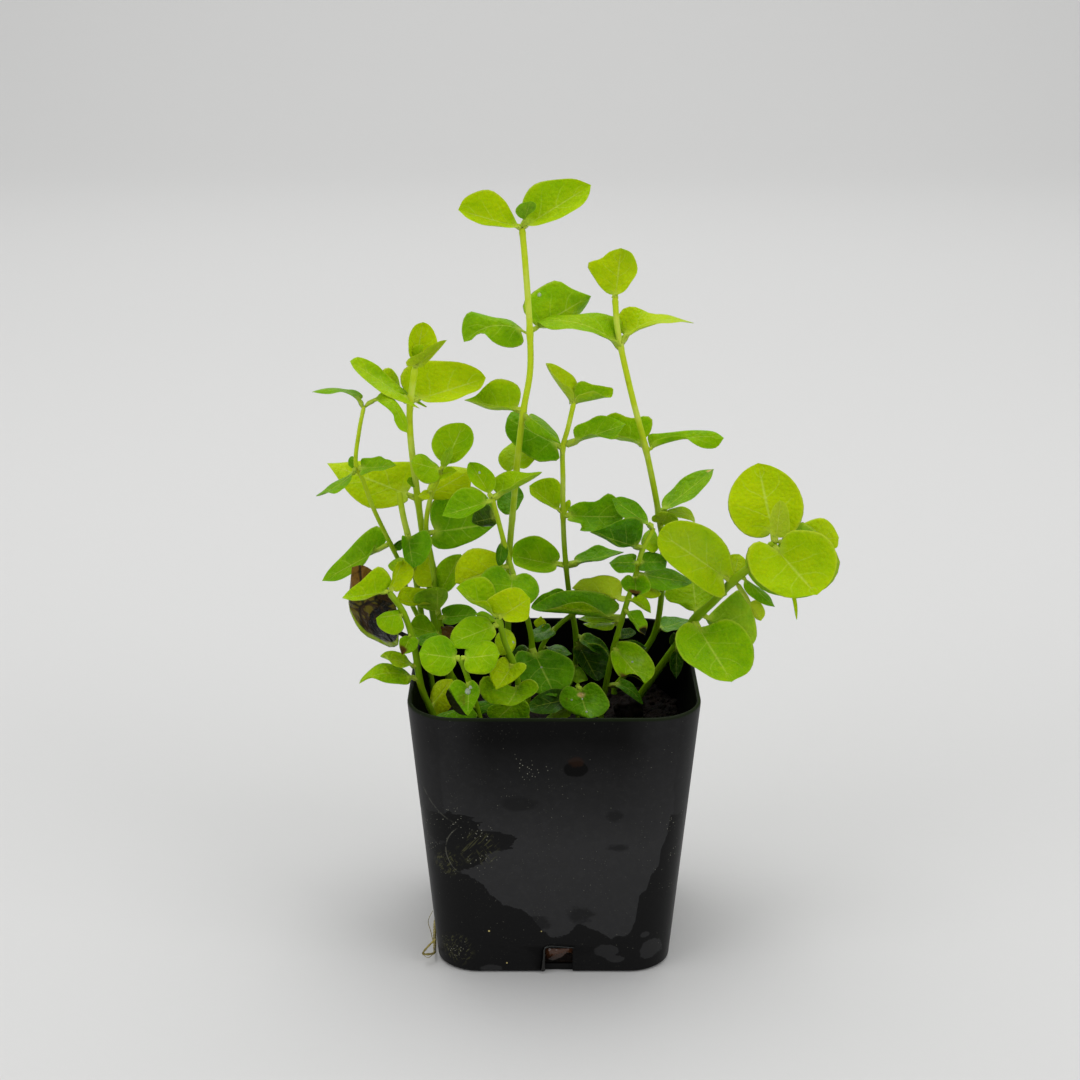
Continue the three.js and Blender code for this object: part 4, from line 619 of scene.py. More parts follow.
class Nodes:
    """A node tree under construction."""

    def __init__(self, tree: bpy.types.NodeTree) -> None:
        """Takes the tree."""
        self.tree = tree

    @staticmethod
    def pick(sockets: Any, key: Key) -> Any:
        """One of a node's sockets, found by identifier, name or place.

        Args:
            sockets: A node's inputs or outputs.
            key: What to look for.

        Returns:
            The socket.
        """
        if isinstance(key, int):
            return sockets[key]
        return next(s for label in ("identifier", "name") for s in sockets if getattr(s, label) == key)

    def fill(self, node: Any, key: Key, value: Value) -> None:
        """Sets or links one input.

        Args:
            node: The node.
            key: Its input.
            value: A wire, a number or a row of numbers.
        """
        socket = self.pick(node.inputs, key)
        if isinstance(value, Wire):
            self.tree.links.new(value.socket, socket)
        elif isinstance(value, (int, float)):
            socket.default_value = value
        else:
            socket.default_value = tuple(value) + (1.0,) * (len(socket.default_value) - len(value))

    def node(self, kind: str, sockets: Optional[dict[Key, Value]] = None, result: Key = 0,
             **settings: Any) -> Wire:
        """Adds one node.

        Args:
            kind: The node's type.
            sockets: Values or links, by identifier, name or place.
            result: The output to read.
            settings: What is set before its sockets, such as an operation or a ramp's stops.

        Returns:
            That output.
        """
        node = self.tree.nodes.new(kind)
        stops = settings.pop("stops", ())
        for key, value in settings.items():
            setattr(node, key, value)
        for _ in stops[2:]:
            node.color_ramp.elements.new(0.5)
        for number, (place, colour) in enumerate(stops):
            node.color_ramp.elements[number].position = place
            node.color_ramp.elements[number].color = (*colour, 1.0)
        for key, value in (sockets or {}).items():
            self.fill(node, key, value)
        return Wire(self, self.pick(node.outputs, result))

    def maths(self, operation: str, *values: Value) -> Wire:
        """One Math node."""
        return self.node("ShaderNodeMath", dict(enumerate(values)), operation=operation)


class Recipe(Nodes):
    """The node tree of one finish, with a Principled shader at its end."""

    def __init__(self, name: str) -> None:
        """Starts an empty material.

        Args:
            name: The material's name.
        """
        self.material = bpy.data.materials.new(name)
        self.material.use_nodes = True
        super().__init__(self.material.node_tree)
        self.tree.nodes.clear()
        end = self.tree.nodes.new("ShaderNodeOutputMaterial")
        self.shader = self.tree.nodes.new("ShaderNodeBsdfPrincipled")
        self.tree.links.new(self.shader.outputs["BSDF"], end.inputs["Surface"])

    @cached_property
    def where(self) -> Wire:
        """The point on the piece, in metres."""
        return self.node("ShaderNodeTexCoord", result="Object")

    def stretched(self, turn: float, *factors: float) -> Wire:
        """The point, for a pattern turned about the depth axis by radians and drawn out by three factors."""
        sockets = {"Vector": self.where, "Rotation": (0.0, turn, 0.0), "Scale": factors}
        return self.node("ShaderNodeMapping", sockets, "Vector", vector_type="TEXTURE")

    def parts(self, vector: Wire) -> tuple[Wire, ...]:
        """The three numbers of a vector."""
        split = self.node("ShaderNodeSeparateXYZ", {0: vector}).socket.node
        return tuple(Wire(self, output) for output in split.outputs)

    def attribute(self, name: str) -> tuple[Wire, ...]:
        """The four numbers of an attribute."""
        colour = self.node("ShaderNodeAttribute", result="Color", attribute_name=name)
        return (*self.parts(colour), Wire(self, colour.socket.node.outputs["Alpha"]))

    def blade(self) -> tuple[Wire, ...]:
        """The place along a leaf blade and across it, both from 0 to 1."""
        return self.parts(self.node("ShaderNodeUVMap", result="UV", uv_map="Blade"))[:2]

    def noise(self, scale: float, detail: float = 3.0, rough: float = 0.6, bend: float = 0.0,
              at: Optional[Wire] = None) -> Wire:
        """Soft noise from 0 to 1, at the point or at another one.

        Args:
            scale: How fine it is.
            detail: How many finer layers it has.
            rough: How strong they are.
            bend: How far it is distorted.
            at: Another point than the piece's own.

        Returns:
            The noise.
        """
        sockets = {"Vector": at or self.where, "Scale": scale, "Detail": detail, "Roughness": rough,
                   "Distortion": bend}
        return self.node("ShaderNodeTexNoise", sockets, "Fac")

    def cells(self, scale: float, feature: str = "F1") -> Wire:
        """Distance to the nearest cell point, or to the nearest cell border."""
        sockets = {"Vector": self.where, "Scale": scale}
        return self.node("ShaderNodeTexVoronoi", sockets, "Distance", feature=feature)

    def mix(self, share: Value, low: Value, high: Value) -> Wire:
        """Colours mixed by a share."""
        sockets = {"Factor_Float": share, "A_Color": low, "B_Color": high}
        return self.node("ShaderNodeMix", sockets, "Result_Color", data_type="RGBA")

    def coats(self, base: Value, *coats: tuple[Value, Rgb]) -> Value:
        """A colour with others laid over it in turn, each by its share."""
        return reduce(lambda below, coat: self.mix(coat[0], below, coat[1]), coats, base)

    def ramp(self, value: Value, *stops: tuple[float, Rgb]) -> Wire:
        """A colour read from a ramp."""
        return self.node("ShaderNodeValToRGB", {"Fac": value}, "Color", stops=stops)

    def bump(self, height: Wire, distance: float, strength: float = 1.0) -> Wire:
        """A normal that follows a height; distance is in metres."""
        sockets = {"Height": height, "Distance": distance, "Strength": strength}
        return self.node("ShaderNodeBump", sockets, "Normal")

    def finish(self, **sockets: Value) -> Material:
        """Fills the shader's sockets, with underscores for spaces, and gives the material.

        Args:
            sockets: Values or links.

        Returns:
            The material.
        """
        for key, value in sockets.items():
            self.fill(self.shader, key.replace("_", " "), value)
        return self.material


@dataclass(frozen=True)
class LeafFinish:
    """Satin leaf tissue, lime where young, with a pale midrib, arched side ribs, a painted highlight on its edge
    and its blemishes.
    """

    shade: Rgb = (0.010, 0.048, 0.0)
    deep: Rgb = (0.048, 0.178, 0.0)
    green: Rgb = (0.112, 0.30, 0.0)
    fresh: Rgb = (0.22, 0.43, 0.0)
    spring: Rgb = (0.345, 0.53, 0.0)
    lime: Rgb = (0.455, 0.60, 0.0)
    under: Rgb = (0.36, 0.47, 0.05)
    # Pale midrib colour, also used for the painted highlight along the blade's edge.
    vein_and_edge_glow: Rgb = (0.56, 0.70, 0.09)
    stalk: Rgb = (0.50, 0.63, 0.06)
    stain: Rgb = (0.10, 0.045, 0.008)
    rot: Rgb = (0.0015, 0.0013, 0.001)
    pale: Rgb = (0.62, 0.46, 0.16)
    side_veins: float = 3.6

    def make(self) -> Material:
        """Builds the material; it reads the blade's UV map and its Look and Marks attributes.

        Returns:
            The material.
        """
        r = Recipe("leaf_tissue")
        u, v = r.blade()
        tone, seed, below, stalk = r.attribute("Look")
        stain, rot, pale, wet = r.attribute("Marks")
        side = abs(v * 2.0 - 1.0)
        cloud = r.noise(150.0)
        grain = r.noise(420.0)
        fleck = r.noise(2200.0, 2.0, 0.5)
        quilt = r.cells(1150.0)
        midrib = side.ease(0.06, 0.0) * u.ease(1.0, 0.7)
        run = (u - side ** 1.15 * 0.46 + side * u * 0.14) * self.side_veins + seed * 3.0 + (grain - 0.5) * 0.25
        rib = abs(run.fraction() - 0.5)
        ribs = rib.ease(0.06, 0.0) * side.ease(0.9, 0.4) * u.ease(0.0, 0.12)
        net = r.cells(1500.0, "DISTANCE_TO_EDGE").ease(0.11, 0.0)
        light = tone + (cloud - 0.5) * 0.46 + (grain - 0.5) * 0.2 + (seed - 0.5) * 0.1 - below * 0.02
        light = (light + (fleck - 0.5) * 0.05 - (quilt - 0.5) * 0.06).most(0.0).least(1.0)
        # The tone ramp is partly the leaf's own colour, partly painted shade: its darker levels stand for leaves
        # in shadow.
        tints = (self.shade, self.deep, self.green, self.fresh, self.spring, self.lime)
        body = r.ramp(light, *((level.value, tint) for level, tint in zip(Tone, tints)))
        # Painted highlight: the last term lays a pale rim along the blade's edge.
        veins_and_edge_glow = (midrib * 0.6 + ribs * 0.34 + net * 0.07 + side.ease(0.92, 1.0) * 0.3) * (light * 0.6 + 0.4)
        ragged = (grain - 0.5) * 0.9 + (fleck - 0.5) * 0.3
        body = r.coats(body, (below * (tone * 0.22 + 0.05), self.under), (veins_and_edge_glow, self.vein_and_edge_glow),
                       (stalk * (tone * 0.45 + 0.5), self.stalk),
                       ((pale * (ragged + 1.0)).ease(0.15, 0.75), self.pale),
                       ((stain * (ragged + 1.0)).ease(0.2, 0.65), self.stain),
                       ((rot * (ragged * 0.6 + 1.0)).ease(0.28, 0.4), self.rot))
        shine = wet.most(tone.ease(0.4, 0.15) * grain.ease(0.42, 0.6) * 0.7)
        rough = 0.44 - shine * 0.32 + (grain - 0.5) * 0.14 + below * 0.08
        height = midrib * -0.25 + ribs * -0.12 + net * -0.12 - quilt * 0.7 + grain * 1.1 + cloud * 2.6
        return r.finish(Base_Color=body, Roughness=rough, Normal=r.bump(height, 0.0003, 0.9),
                        Specular_IOR_Level=0.14, Specular_Tint=(0.75, 1.0, 0.2), Coat_Weight=shine * 0.5,
                        Coat_Roughness=0.16, Coat_IOR=1.33, Subsurface_Weight=0.22,
                        Subsurface_Radius=(0.6, 1.0, 0.1), Subsurface_Scale=0.0007)


@dataclass(frozen=True)
class WitheredFinish:
    """A dead leaf: brown gold at its tip, black inside, glossy in folds, with a thin lime edge on one side."""

    gold: Rgb = (0.17, 0.085, 0.008)
    olive: Rgb = (0.11, 0.09, 0.004)
    brown: Rgb = (0.035, 0.019, 0.004)
    black: Rgb = (0.0025, 0.0022, 0.002)
    edge: Rgb = (0.22, 0.33, 0.002)

    def make(self) -> Material:
        """Builds the material from the blade's UV map.

        Returns:
            The material.
        """
        r = Recipe("withered_leaf")
        u, v = r.blade()
        patch = r.noise(105.0, 4.0, 0.62, 1.4)
        facets = r.noise(170.0, 2.0, 0.5, 2.0)
        fine = r.noise(900.0)
        cracks = r.cells(150.0, "DISTANCE_TO_EDGE").ease(0.06, 0.01)
        body = r.coats(self.black, ((patch + (u - 0.3) * 0.5).ease(0.48, 0.56), self.brown),
                       ((facets + (u - 0.35) * 0.5).ease(0.5, 0.56) * 0.9, self.olive),
                       ((u + (patch - 0.5) * 0.5).ease(0.72, 0.8), self.gold), (cracks * 0.85, self.black),
                       (fine.ease(0.5, 0.3) * 0.5, self.black),
                       ((v + (patch - 0.5) * 0.06).ease(0.9, 0.94) * u.ease(0.97, 0.8), self.edge))
        rough = 0.16 + patch.ease(0.4, 0.65) * 0.35 + (fine - 0.5) * 0.1
        return r.finish(Base_Color=body, Roughness=rough,
                        Normal=r.bump(facets * 1.5 + patch + fine * 0.12, 0.0012, 1.0), Specular_IOR_Level=0.1)


@dataclass(frozen=True)
class StemFinish:
    """A smooth waxy stem, pale at the top and olive lower down, partly painted shade; its pale patches are painted
    highlights.
    """

    young: Rgb = (0.60, 0.74, 0.02)
    # Colour of the painted highlight patches.
    pale: Rgb = (0.76, 0.85, 0.17)
    old_and_shaded: Rgb = (0.175, 0.34, 0.001)
    blush: Rgb = (0.30, 0.24, 0.01)
    # Heights in metres between which the stem turns olive, with age and painted shade.
    light: float = 0.126
    deep: float = 0.06

    def make(self) -> Material:
        """Builds the material; it greens from one height down to another, in metres.

        Returns:
            The material.
        """
        r = Recipe("stem_skin")
        _, _, z = r.parts(r.where)
        fibre = r.noise(2600.0, 2.0, 0.6, at=r.stretched(0.0, 1.0, 1.0, 8.3))
        cloud = r.noise(160.0)
        # Painted highlights in pale patches; painted shade, with age, turning the stem olive lower down.
        body = r.coats(self.young, (cloud.ease(0.46, 0.62) * 0.55, self.pale),
                       ((z + (cloud - 0.5) * 0.02).ease(self.light, self.deep), self.old_and_shaded),
                       (cloud.ease(0.42, 0.3) * 0.3, self.blush), (fibre * 0.2, self.old_and_shaded))
        return r.finish(Base_Color=body, Roughness=0.4 + cloud * 0.15,
                        Normal=r.bump(fibre, 0.00012, 0.6), Specular_IOR_Level=0.16,
                        Specular_Tint=(0.85, 1.0, 0.4), Subsurface_Weight=0.2,
                        Subsurface_Radius=(0.6, 1.0, 0.15), Subsurface_Scale=0.0008)


@dataclass(frozen=True)
class PlasticFinish:
    """Thin black plastic: dry and greyer in one ragged patch, wet and black round it, with scratches and grit.

    Places are in millimetres on the front; an oval is its middle and its two reaches.
    """

    black: Rgb = (0.0025, 0.0025, 0.0025)
    wet: Rgb = (0.009, 0.009, 0.0092)
    dry: Rgb = (0.029, 0.029, 0.030)
    haze: Rgb = (0.042, 0.042, 0.043)
    speck: Rgb = (0.34, 0.34, 0.27)
    # Painted highlight: a lighter, greenish line along the rim.
    lip: Rgb = (0.008, 0.014, 0.003)
    film: Rgb = (0.030, 0.012, 0.005)
    olive: Rgb = (0.08, 0.08, 0.035)
    crumb: Rgb = (0.5, 0.42, 0.16)
    shore: tuple[Spot, ...] = ((-23.0, 25.6), (-18.4, 24.7), (-16.4, 23.2), (-13.3, 19.4), (-10.6, 16.7),
                               (-7.3, 15.7), (-4.6, 13.5), (-2.1, 10.3), (-0.6, 8.6), (2.6, 8.8), (5.2, 12.0),
                               (8.4, 10.2), (12.0, 8.4), (15.6, 9.2), (17.0, 12.4), (17.7, 18.4), (19.2, 20.2),
                               (20.2, 23.8), (21.7, 25.4), (22.2, 29.6), (23.4, 32.4), (24.0, 37.0))
    smears: Ovals = ((-22.0, 34.0, 8.0, 3.4), (-15.0, 31.5, 7.5, 3.0), (-20.0, 28.0, 6.0, 3.4))
    smudges: Ovals = ((-7.5, 40.5, 4.0, 2.2), (12.4, 37.6, 2.2, 1.6), (13.2, 30.2, 3.4, 1.2),
                      (4.0, 49.6, 3.2, 2.6), (-4.0, 12.0, 4.0, 2.6), (6.0, 14.0, 4.0, 3.0))
    dust: Ovals = ((-19.0, 31.0, 11.0, 11.0), (24.0, 36.5, 5.0, 5.5), (24.0, 25.0, 4.0, 8.0),
                   (-22.0, 6.0, 5.0, 5.0), (-6.0, 48.0, 7.0, 7.0))
    rubbed: Ovals = ((-15.5, 30.0, 5.0, 4.6), (-22.0, 26.0, 3.6, 3.4), (-20.5, 5.0, 4.2, 4.4))
    greys: Ovals = ((11.0, 5.2, 2.6, 1.5), (13.0, 3.2, 1.8, 0.9), (20.5, 5.0, 2.6, 2.6),
                    (19.2, 9.0, 1.2, 0.9), (-13.3, 0.9, 2.4, 1.0))
    grains: Ovals = ((-13.6, 10.1, 0.24, 0.24), (-9.9, 2.2, 0.2, 0.2), (-2.6, 10.0, 0.16, 0.16))
    hole: Ovals = ((4.4, 48.6, 2.6, 1.9),)
    stain: Ovals = ((4.4, 50.2, 2.2, 1.6),)
    arc: Ovals = ((-15.5, 48.0, 12.6, 13.2),)
    curl: Ovals = ((-15.0, 29.5, 7.4, 7.0),)
    rim_height: float = 60.0

    @staticmethod
    def blobs(x: Wire, z: Wire, ovals: Ovals) -> Wire:
        """The highest of ovals that rise from 0 at their edge to 1 in the middle.

        Args:
            x: Place across the front.
            z: Height.
            ovals: The ovals.

        Returns:
            The highest.
        """
        rises = []
        for middle, level, wide, high in ovals:
            across, up = (x - middle) / wide, (z - level) / high
            rises.append(1.0 - (across * across + up * up) ** 0.5)
        return reduce(Wire.most, rises)

    @staticmethod
    def scratches(r: Recipe, turn: float, scale: float, low: float) -> Wire:
        """Fine scratches that lean from upright by radians, where noise of a scale is above a low level."""
        return r.noise(scale, 2.0, 0.55, 0.5, at=r.stretched(turn, 1.0, 1.0, 14.0)).ease(low, low + 0.07)

    def make(self) -> Material:
        """Builds the material on the pot's own coordinates, in millimetres.

        Returns:
            The material.
        """
        r = Recipe("pot_plastic")
        x, y, z = (part / MM for part in r.parts(r.where))
        cloud = r.noise(95.0, 4.0, 0.62, 0.3)
        fine = r.noise(620.0, 4.0, 0.72)
        ragged = (cloud - 0.5) * 1.1 + (fine - 0.5) * 0.9
        front = y.ease(-18.0, -22.0)
        left, right = self.shore[0][0], self.shore[-1][0]
        stops = [((px - left) / (right - left), (pz / self.rim_height,) * 3) for px, pz in self.shore]
        shore = r.ramp((x - left) / (right - left), *stops) * self.rim_height
        shore = shore + ((r.noise(34.0, 2.0, 0.5) - 0.5) * 120.0 - 8.0) * (1.0 - front)
        drawn = r.noise(330.0, 4.0, 0.65, at=r.stretched(0.0, 2.9, 1.0, 1.0)) - 0.5
        smear = self.blobs(x, z, self.smears) + drawn * 1.6
        side = (abs(x - 1.0) - 22.5 - (z - 20.0) * 0.05) / 4.5
        wet = (((shore - z) / 7.0).most(smear) + ragged * 0.42).ease(0.0, 0.05)
        wet = wet.most((side + ragged * 0.42).ease(0.0, 0.06) * (z.ease(50.0, 20.0) * 0.6 + 0.2))
        upper = ((z - 30.0) / 25.0 + (cloud - 0.5) * 0.2).most(0.0).least(1.0)
        # Painted sheen: the black top thins toward both corners, so they show lighter where light catches them.
        upper = upper * (1.0 - abs(x).ease(13.0, 22.0) * 0.45)
        smudge = (self.blobs(x, z, self.smudges) + ragged * 1.2 + drawn * 1.4).ease(0.1, 0.6) * front
        dusty = (self.blobs(x, z, self.dust) + ragged * 0.6).ease(0.0, 0.6) * front
        pepper = r.cells(1500.0).ease(0.2, 0.1) * r.noise(240.0, 3.0, 0.5).ease(0.46, 0.64)
        lone = r.cells(760.0).ease(0.075, 0.035) * cloud.ease(0.42, 0.56)
        strokes = self.scratches(r, 0.75, 2600.0, 0.55).most(self.scratches(r, -0.6, 2300.0, 0.6))
        rubbed = (self.blobs(x, z, self.rubbed) + ragged * 0.4).ease(0.0, 0.4)
        arc = abs(self.blobs(x, z, self.arc)).ease(0.018, 0.006) * x.ease(-19.0, -22.0)
        arc = arc * z.ease(44.0, 42.0) * fine.ease(0.4, 0.55)
        curl = abs(self.blobs(x, z, self.curl)).ease(0.022, 0.008) * x.ease(-19.5, -21.0)
        curl = curl * fine.ease(0.42, 0.5)
        grit = (pepper * (dusty * 0.95 + 0.1) + lone * 0.6 * front + arc * 0.12 + curl * 0.22 * front).least(1.0)
        grey = (self.blobs(x, z, self.greys) + ragged * 0.9).ease(0.05, 0.15) * front
        hole = (self.blobs(x, z, self.hole) + ragged * 0.5).ease(0.0, 0.1) * front
        brown = (self.blobs(x, z, self.stain) + ragged * 0.8).ease(0.1, 0.5) * front
        grains = self.blobs(x, z, self.grains).ease(0.0, 0.3) * front
        # Painted highlight along the rounded rim, in the lip colour.
        lip = z.ease(self.rim_height - 0.8, self.rim_height - 0.3)
        body = r.coats(self.dry, (wet, self.wet), (upper * 0.97, self.black),
                       ((1.0 - wet) * (1.0 - upper) * fine.ease(0.4, 0.75) * 0.3, self.haze),
                       (grey * 0.5, self.haze), (smudge * 0.65, self.wet), (hole, self.black),
                       (brown * 0.4, self.film), (strokes * rubbed * 0.55 * front, self.olive),
                       (grit * 0.8, self.speck), (grains, self.crumb), (lip * 0.8, self.lip))
        shiny = wet.most(upper).most(smudge * 0.6)
        rough = 0.44 - shiny * 0.14 + fine * 0.1 + grit * 0.3
        height = fine * 0.35 + grit * 1.4 + cloud * 0.4 + wet * 0.25
        return r.finish(Base_Color=body, Roughness=rough, Normal=r.bump(height, 0.00007, 0.5),
                        Specular_IOR_Level=0.055)


@dataclass(frozen=True)
class ShadedInsideFinish:
    """The wet black plastic of the pot's inner face, painted darker than outside as shade inside the pot."""

    # Painted shade: darker than the same plastic on the outside.
    black: Rgb = (0.0012, 0.0012, 0.0012)

    def make(self) -> Material:
        """Builds the material.

        Returns:
            The material.
        """
        r = Recipe("pot_inside")
        fine = r.noise(500.0)
        return r.finish(Base_Color=self.black, Roughness=0.35 + fine * 0.2, Specular_IOR_Level=0.06)


@dataclass(frozen=True)
class SoilFinish:
    """Damp dark potting soil, its near-black colour partly painted shade from the leaves above."""

    # Partly painted shade: darker than the damp soil itself, for the shade under the leaves.
    low: Rgb = (0.0012, 0.0008, 0.0006)
    high: Rgb = (0.014, 0.006, 0.0025)

    def make(self) -> Material:
        """Builds the material.

        Returns:
            The material.
        """
        r = Recipe("damp_soil")
        crumb = r.noise(420.0, 5.0, 0.7)
        lump = r.cells(700.0)
        body = r.ramp(crumb, (0.35, self.low), (0.72, self.high))
        return r.finish(Base_Color=body, Roughness=0.45 + crumb * 0.4,
                        Normal=r.bump(crumb - lump * 0.6, 0.0012, 1.0), Specular_IOR_Level=0.14)


@dataclass(frozen=True)
class RootFinish:
    """Fine brown root skin."""

    pale: Rgb = (0.33, 0.27, 0.05)
    dark: Rgb = (0.06, 0.042, 0.005)

    def make(self) -> Material:
        """Builds the material.

        Returns:
            The material.
        """
        r = Recipe("root_skin")
        cloud = r.noise(500.0)
        body = r.ramp(cloud, (0.3, self.dark), (0.65, self.pale))
        return r.finish(Base_Color=body, Roughness=0.4, Normal=r.bump(cloud, 0.0002, 0.7))


@dataclass(frozen=True)
class WaterFinish:
    """Water, whitish rather than clear: a painted highlight on each drop."""

    # Painted highlight: the whitish colour shows each drop as a glint.
    colour: Rgb = (0.9, 0.96, 0.86)

    def make(self) -> Material:
        """Builds the material."""
        r = Recipe("clear_water")
        return r.finish(Base_Color=self.colour, Roughness=0.06, IOR=1.33, Transmission_Weight=0.62)


@dataclass(frozen=True)
class FilmFinish:
    """A dried film of peaty water: glassy and reddish brown, dark at its lower edge, or dark all over."""

    name: str = "peat_film"
    red: Rgb = (0.060, 0.022, 0.009)
    dark: Rgb = (0.004, 0.003, 0.002)

    def make(self) -> Material:
        """Builds the material on the pot's own coordinates.

        Returns:
            The material.
        """
        r = Recipe(self.name)
        _, _, z = r.parts(r.where)
        cloud = r.noise(380.0)
        body = r.mix((z / MM * 0.25 + cloud * 1.4).ease(1.1, 1.9), self.dark, self.red)
        return r.finish(Base_Color=body, Roughness=0.08, Normal=r.bump(cloud, 0.0008, 0.6), Specular_IOR_Level=0.5)


@dataclass(frozen=True)
class TableFinish:
    """A pale seamless studio surface, painted a little darker far behind as shade where the light falls off."""

    near: Rgb = (0.66, 0.66, 0.655)
    # Painted shade far behind the plant.
    far: Rgb = (0.605, 0.605, 0.60)

    def make(self) -> Material:
        """Builds the material.

        Returns:
            The material.
        """
        r = Recipe("studio_paper")
        _, y, _ = r.parts(r.where)
        tooth = r.noise(300.0)
        return r.finish(Base_Color=r.mix(y.ease(0.1, 0.7), self.near, self.far), Roughness=0.75,
                        Normal=r.bump(tooth, 0.0003, 0.15))


class Wardrobe:
    """Every finish, made once."""

    def __init__(self) -> None:
        """Builds the materials."""
        self.leaf = LeafFinish().make()
        self.withered = WitheredFinish().make()
        self.stem = StemFinish().make()
        self.plastic = PlasticFinish().make()
        self.soil = SoilFinish().make()
        self.root = RootFinish().make()
        self.water = WaterFinish().make()
        self.inside = ShadedInsideFinish().make()
        self.film = FilmFinish().make()
        self.drip = FilmFinish("dark_drip", (0.006, 0.007, 0.006)).make()
        self.table = TableFinish().make()


def spline(knots: np.ndarray, steps: int = 12) -> np.ndarray:
    """A dense centripetal spline through knots.

    Args:
        knots: The points that it runs through.
        steps: How many points it gets from one knot to the next.

    Returns:
        Its points.
    """
    padded = np.concatenate([knots[:1] * 2 - knots[1:2], knots, knots[-1:] * 2 - knots[-2:-1]])
    dense = [knots[0]]
    for p0, p1, p2, p3 in zip(padded, padded[1:], padded[2:], padded[3:]):
        gaps = (float(np.linalg.norm(b - a)) for a, b in ((p0, p1), (p1, p2), (p2, p3)))
        d0, d1, d2 = (math.sqrt(max(gap, 1e-9)) for gap in gaps)
        m1 = ((p1 - p0) / d0 - (p2 - p0) / (d0 + d1) + (p2 - p1) / d1) * d1
        m2 = ((p2 - p1) / d1 - (p3 - p1) / (d1 + d2) + (p3 - p2) / d2) * d1
        for t in np.arange(1, steps + 1) / steps:
            dense.append((2 * t ** 3 - 3 * t ** 2 + 1) * p1 + (t ** 3 - 2 * t ** 2 + t) * m1
                         + (3 * t ** 2 - 2 * t ** 3) * p2 + (t ** 3 - t ** 2) * m2)
    return np.array(dense)


def lengths_along(line: np.ndarray) -> np.ndarray:
    """The length of a line up to each of its points."""
    return np.concatenate([[0.0], np.cumsum(np.linalg.norm(np.diff(line, axis=0), axis=1))])


def read_line(line: np.ndarray, share: np.ndarray) -> np.ndarray:
    """Points of a line at shares of its length from 0 to 1."""
    lengths = lengths_along(line)
    return np.stack([np.interp(share * lengths[-1], lengths, part) for part in line.T], 1)


def loft(loops: Sequence[np.ndarray], low: Sequence[float],
         high: Sequence[float]) -> tuple[np.ndarray, list[Face]]:
    """Joins loops of points into a shell that a point closes at either end.

    Args:
        loops: The loops, each with as many points as the next.
        low: The point that closes the first loop.
        high: The point that closes the last one.

    Returns:
        Points and faces.
    """
    n = len(loops[0])
    steps = [(k, (k + 1) % n) for k in range(n)]
    last = n * (len(loops) - 1)
    faces: list[Face] = [(i + a, i + b, i + b + n, i + a + n) for i in range(0, last, n) for a, b in steps]
    for a, b in steps:
        faces += [(b, a, last + n), (last + a, last + b, last + n + 1)]
    return np.concatenate([*loops, [low, high]]), faces


def link(name: str, data: Any) -> Piece:
    """Makes an object of some data and links it to the scene.

    Args:
        name: Its name.
        data: A mesh, curve, camera or light.

    Returns:
        The object.
    """
    piece = bpy.data.objects.new(name, data)
    bpy.context.scene.collection.objects.link(piece)
    return piece


def evaluated(piece: Piece) -> bpy.types.Mesh:
    """A plain mesh of a piece with its modifiers applied.

    Args:
        piece: The piece.

    Returns:
        The mesh.
    """
    depsgraph = bpy.context.evaluated_depsgraph_get()
    depsgraph.update()
    return bpy.data.meshes.new_from_object(piece.evaluated_get(depsgraph), depsgraph=depsgraph)


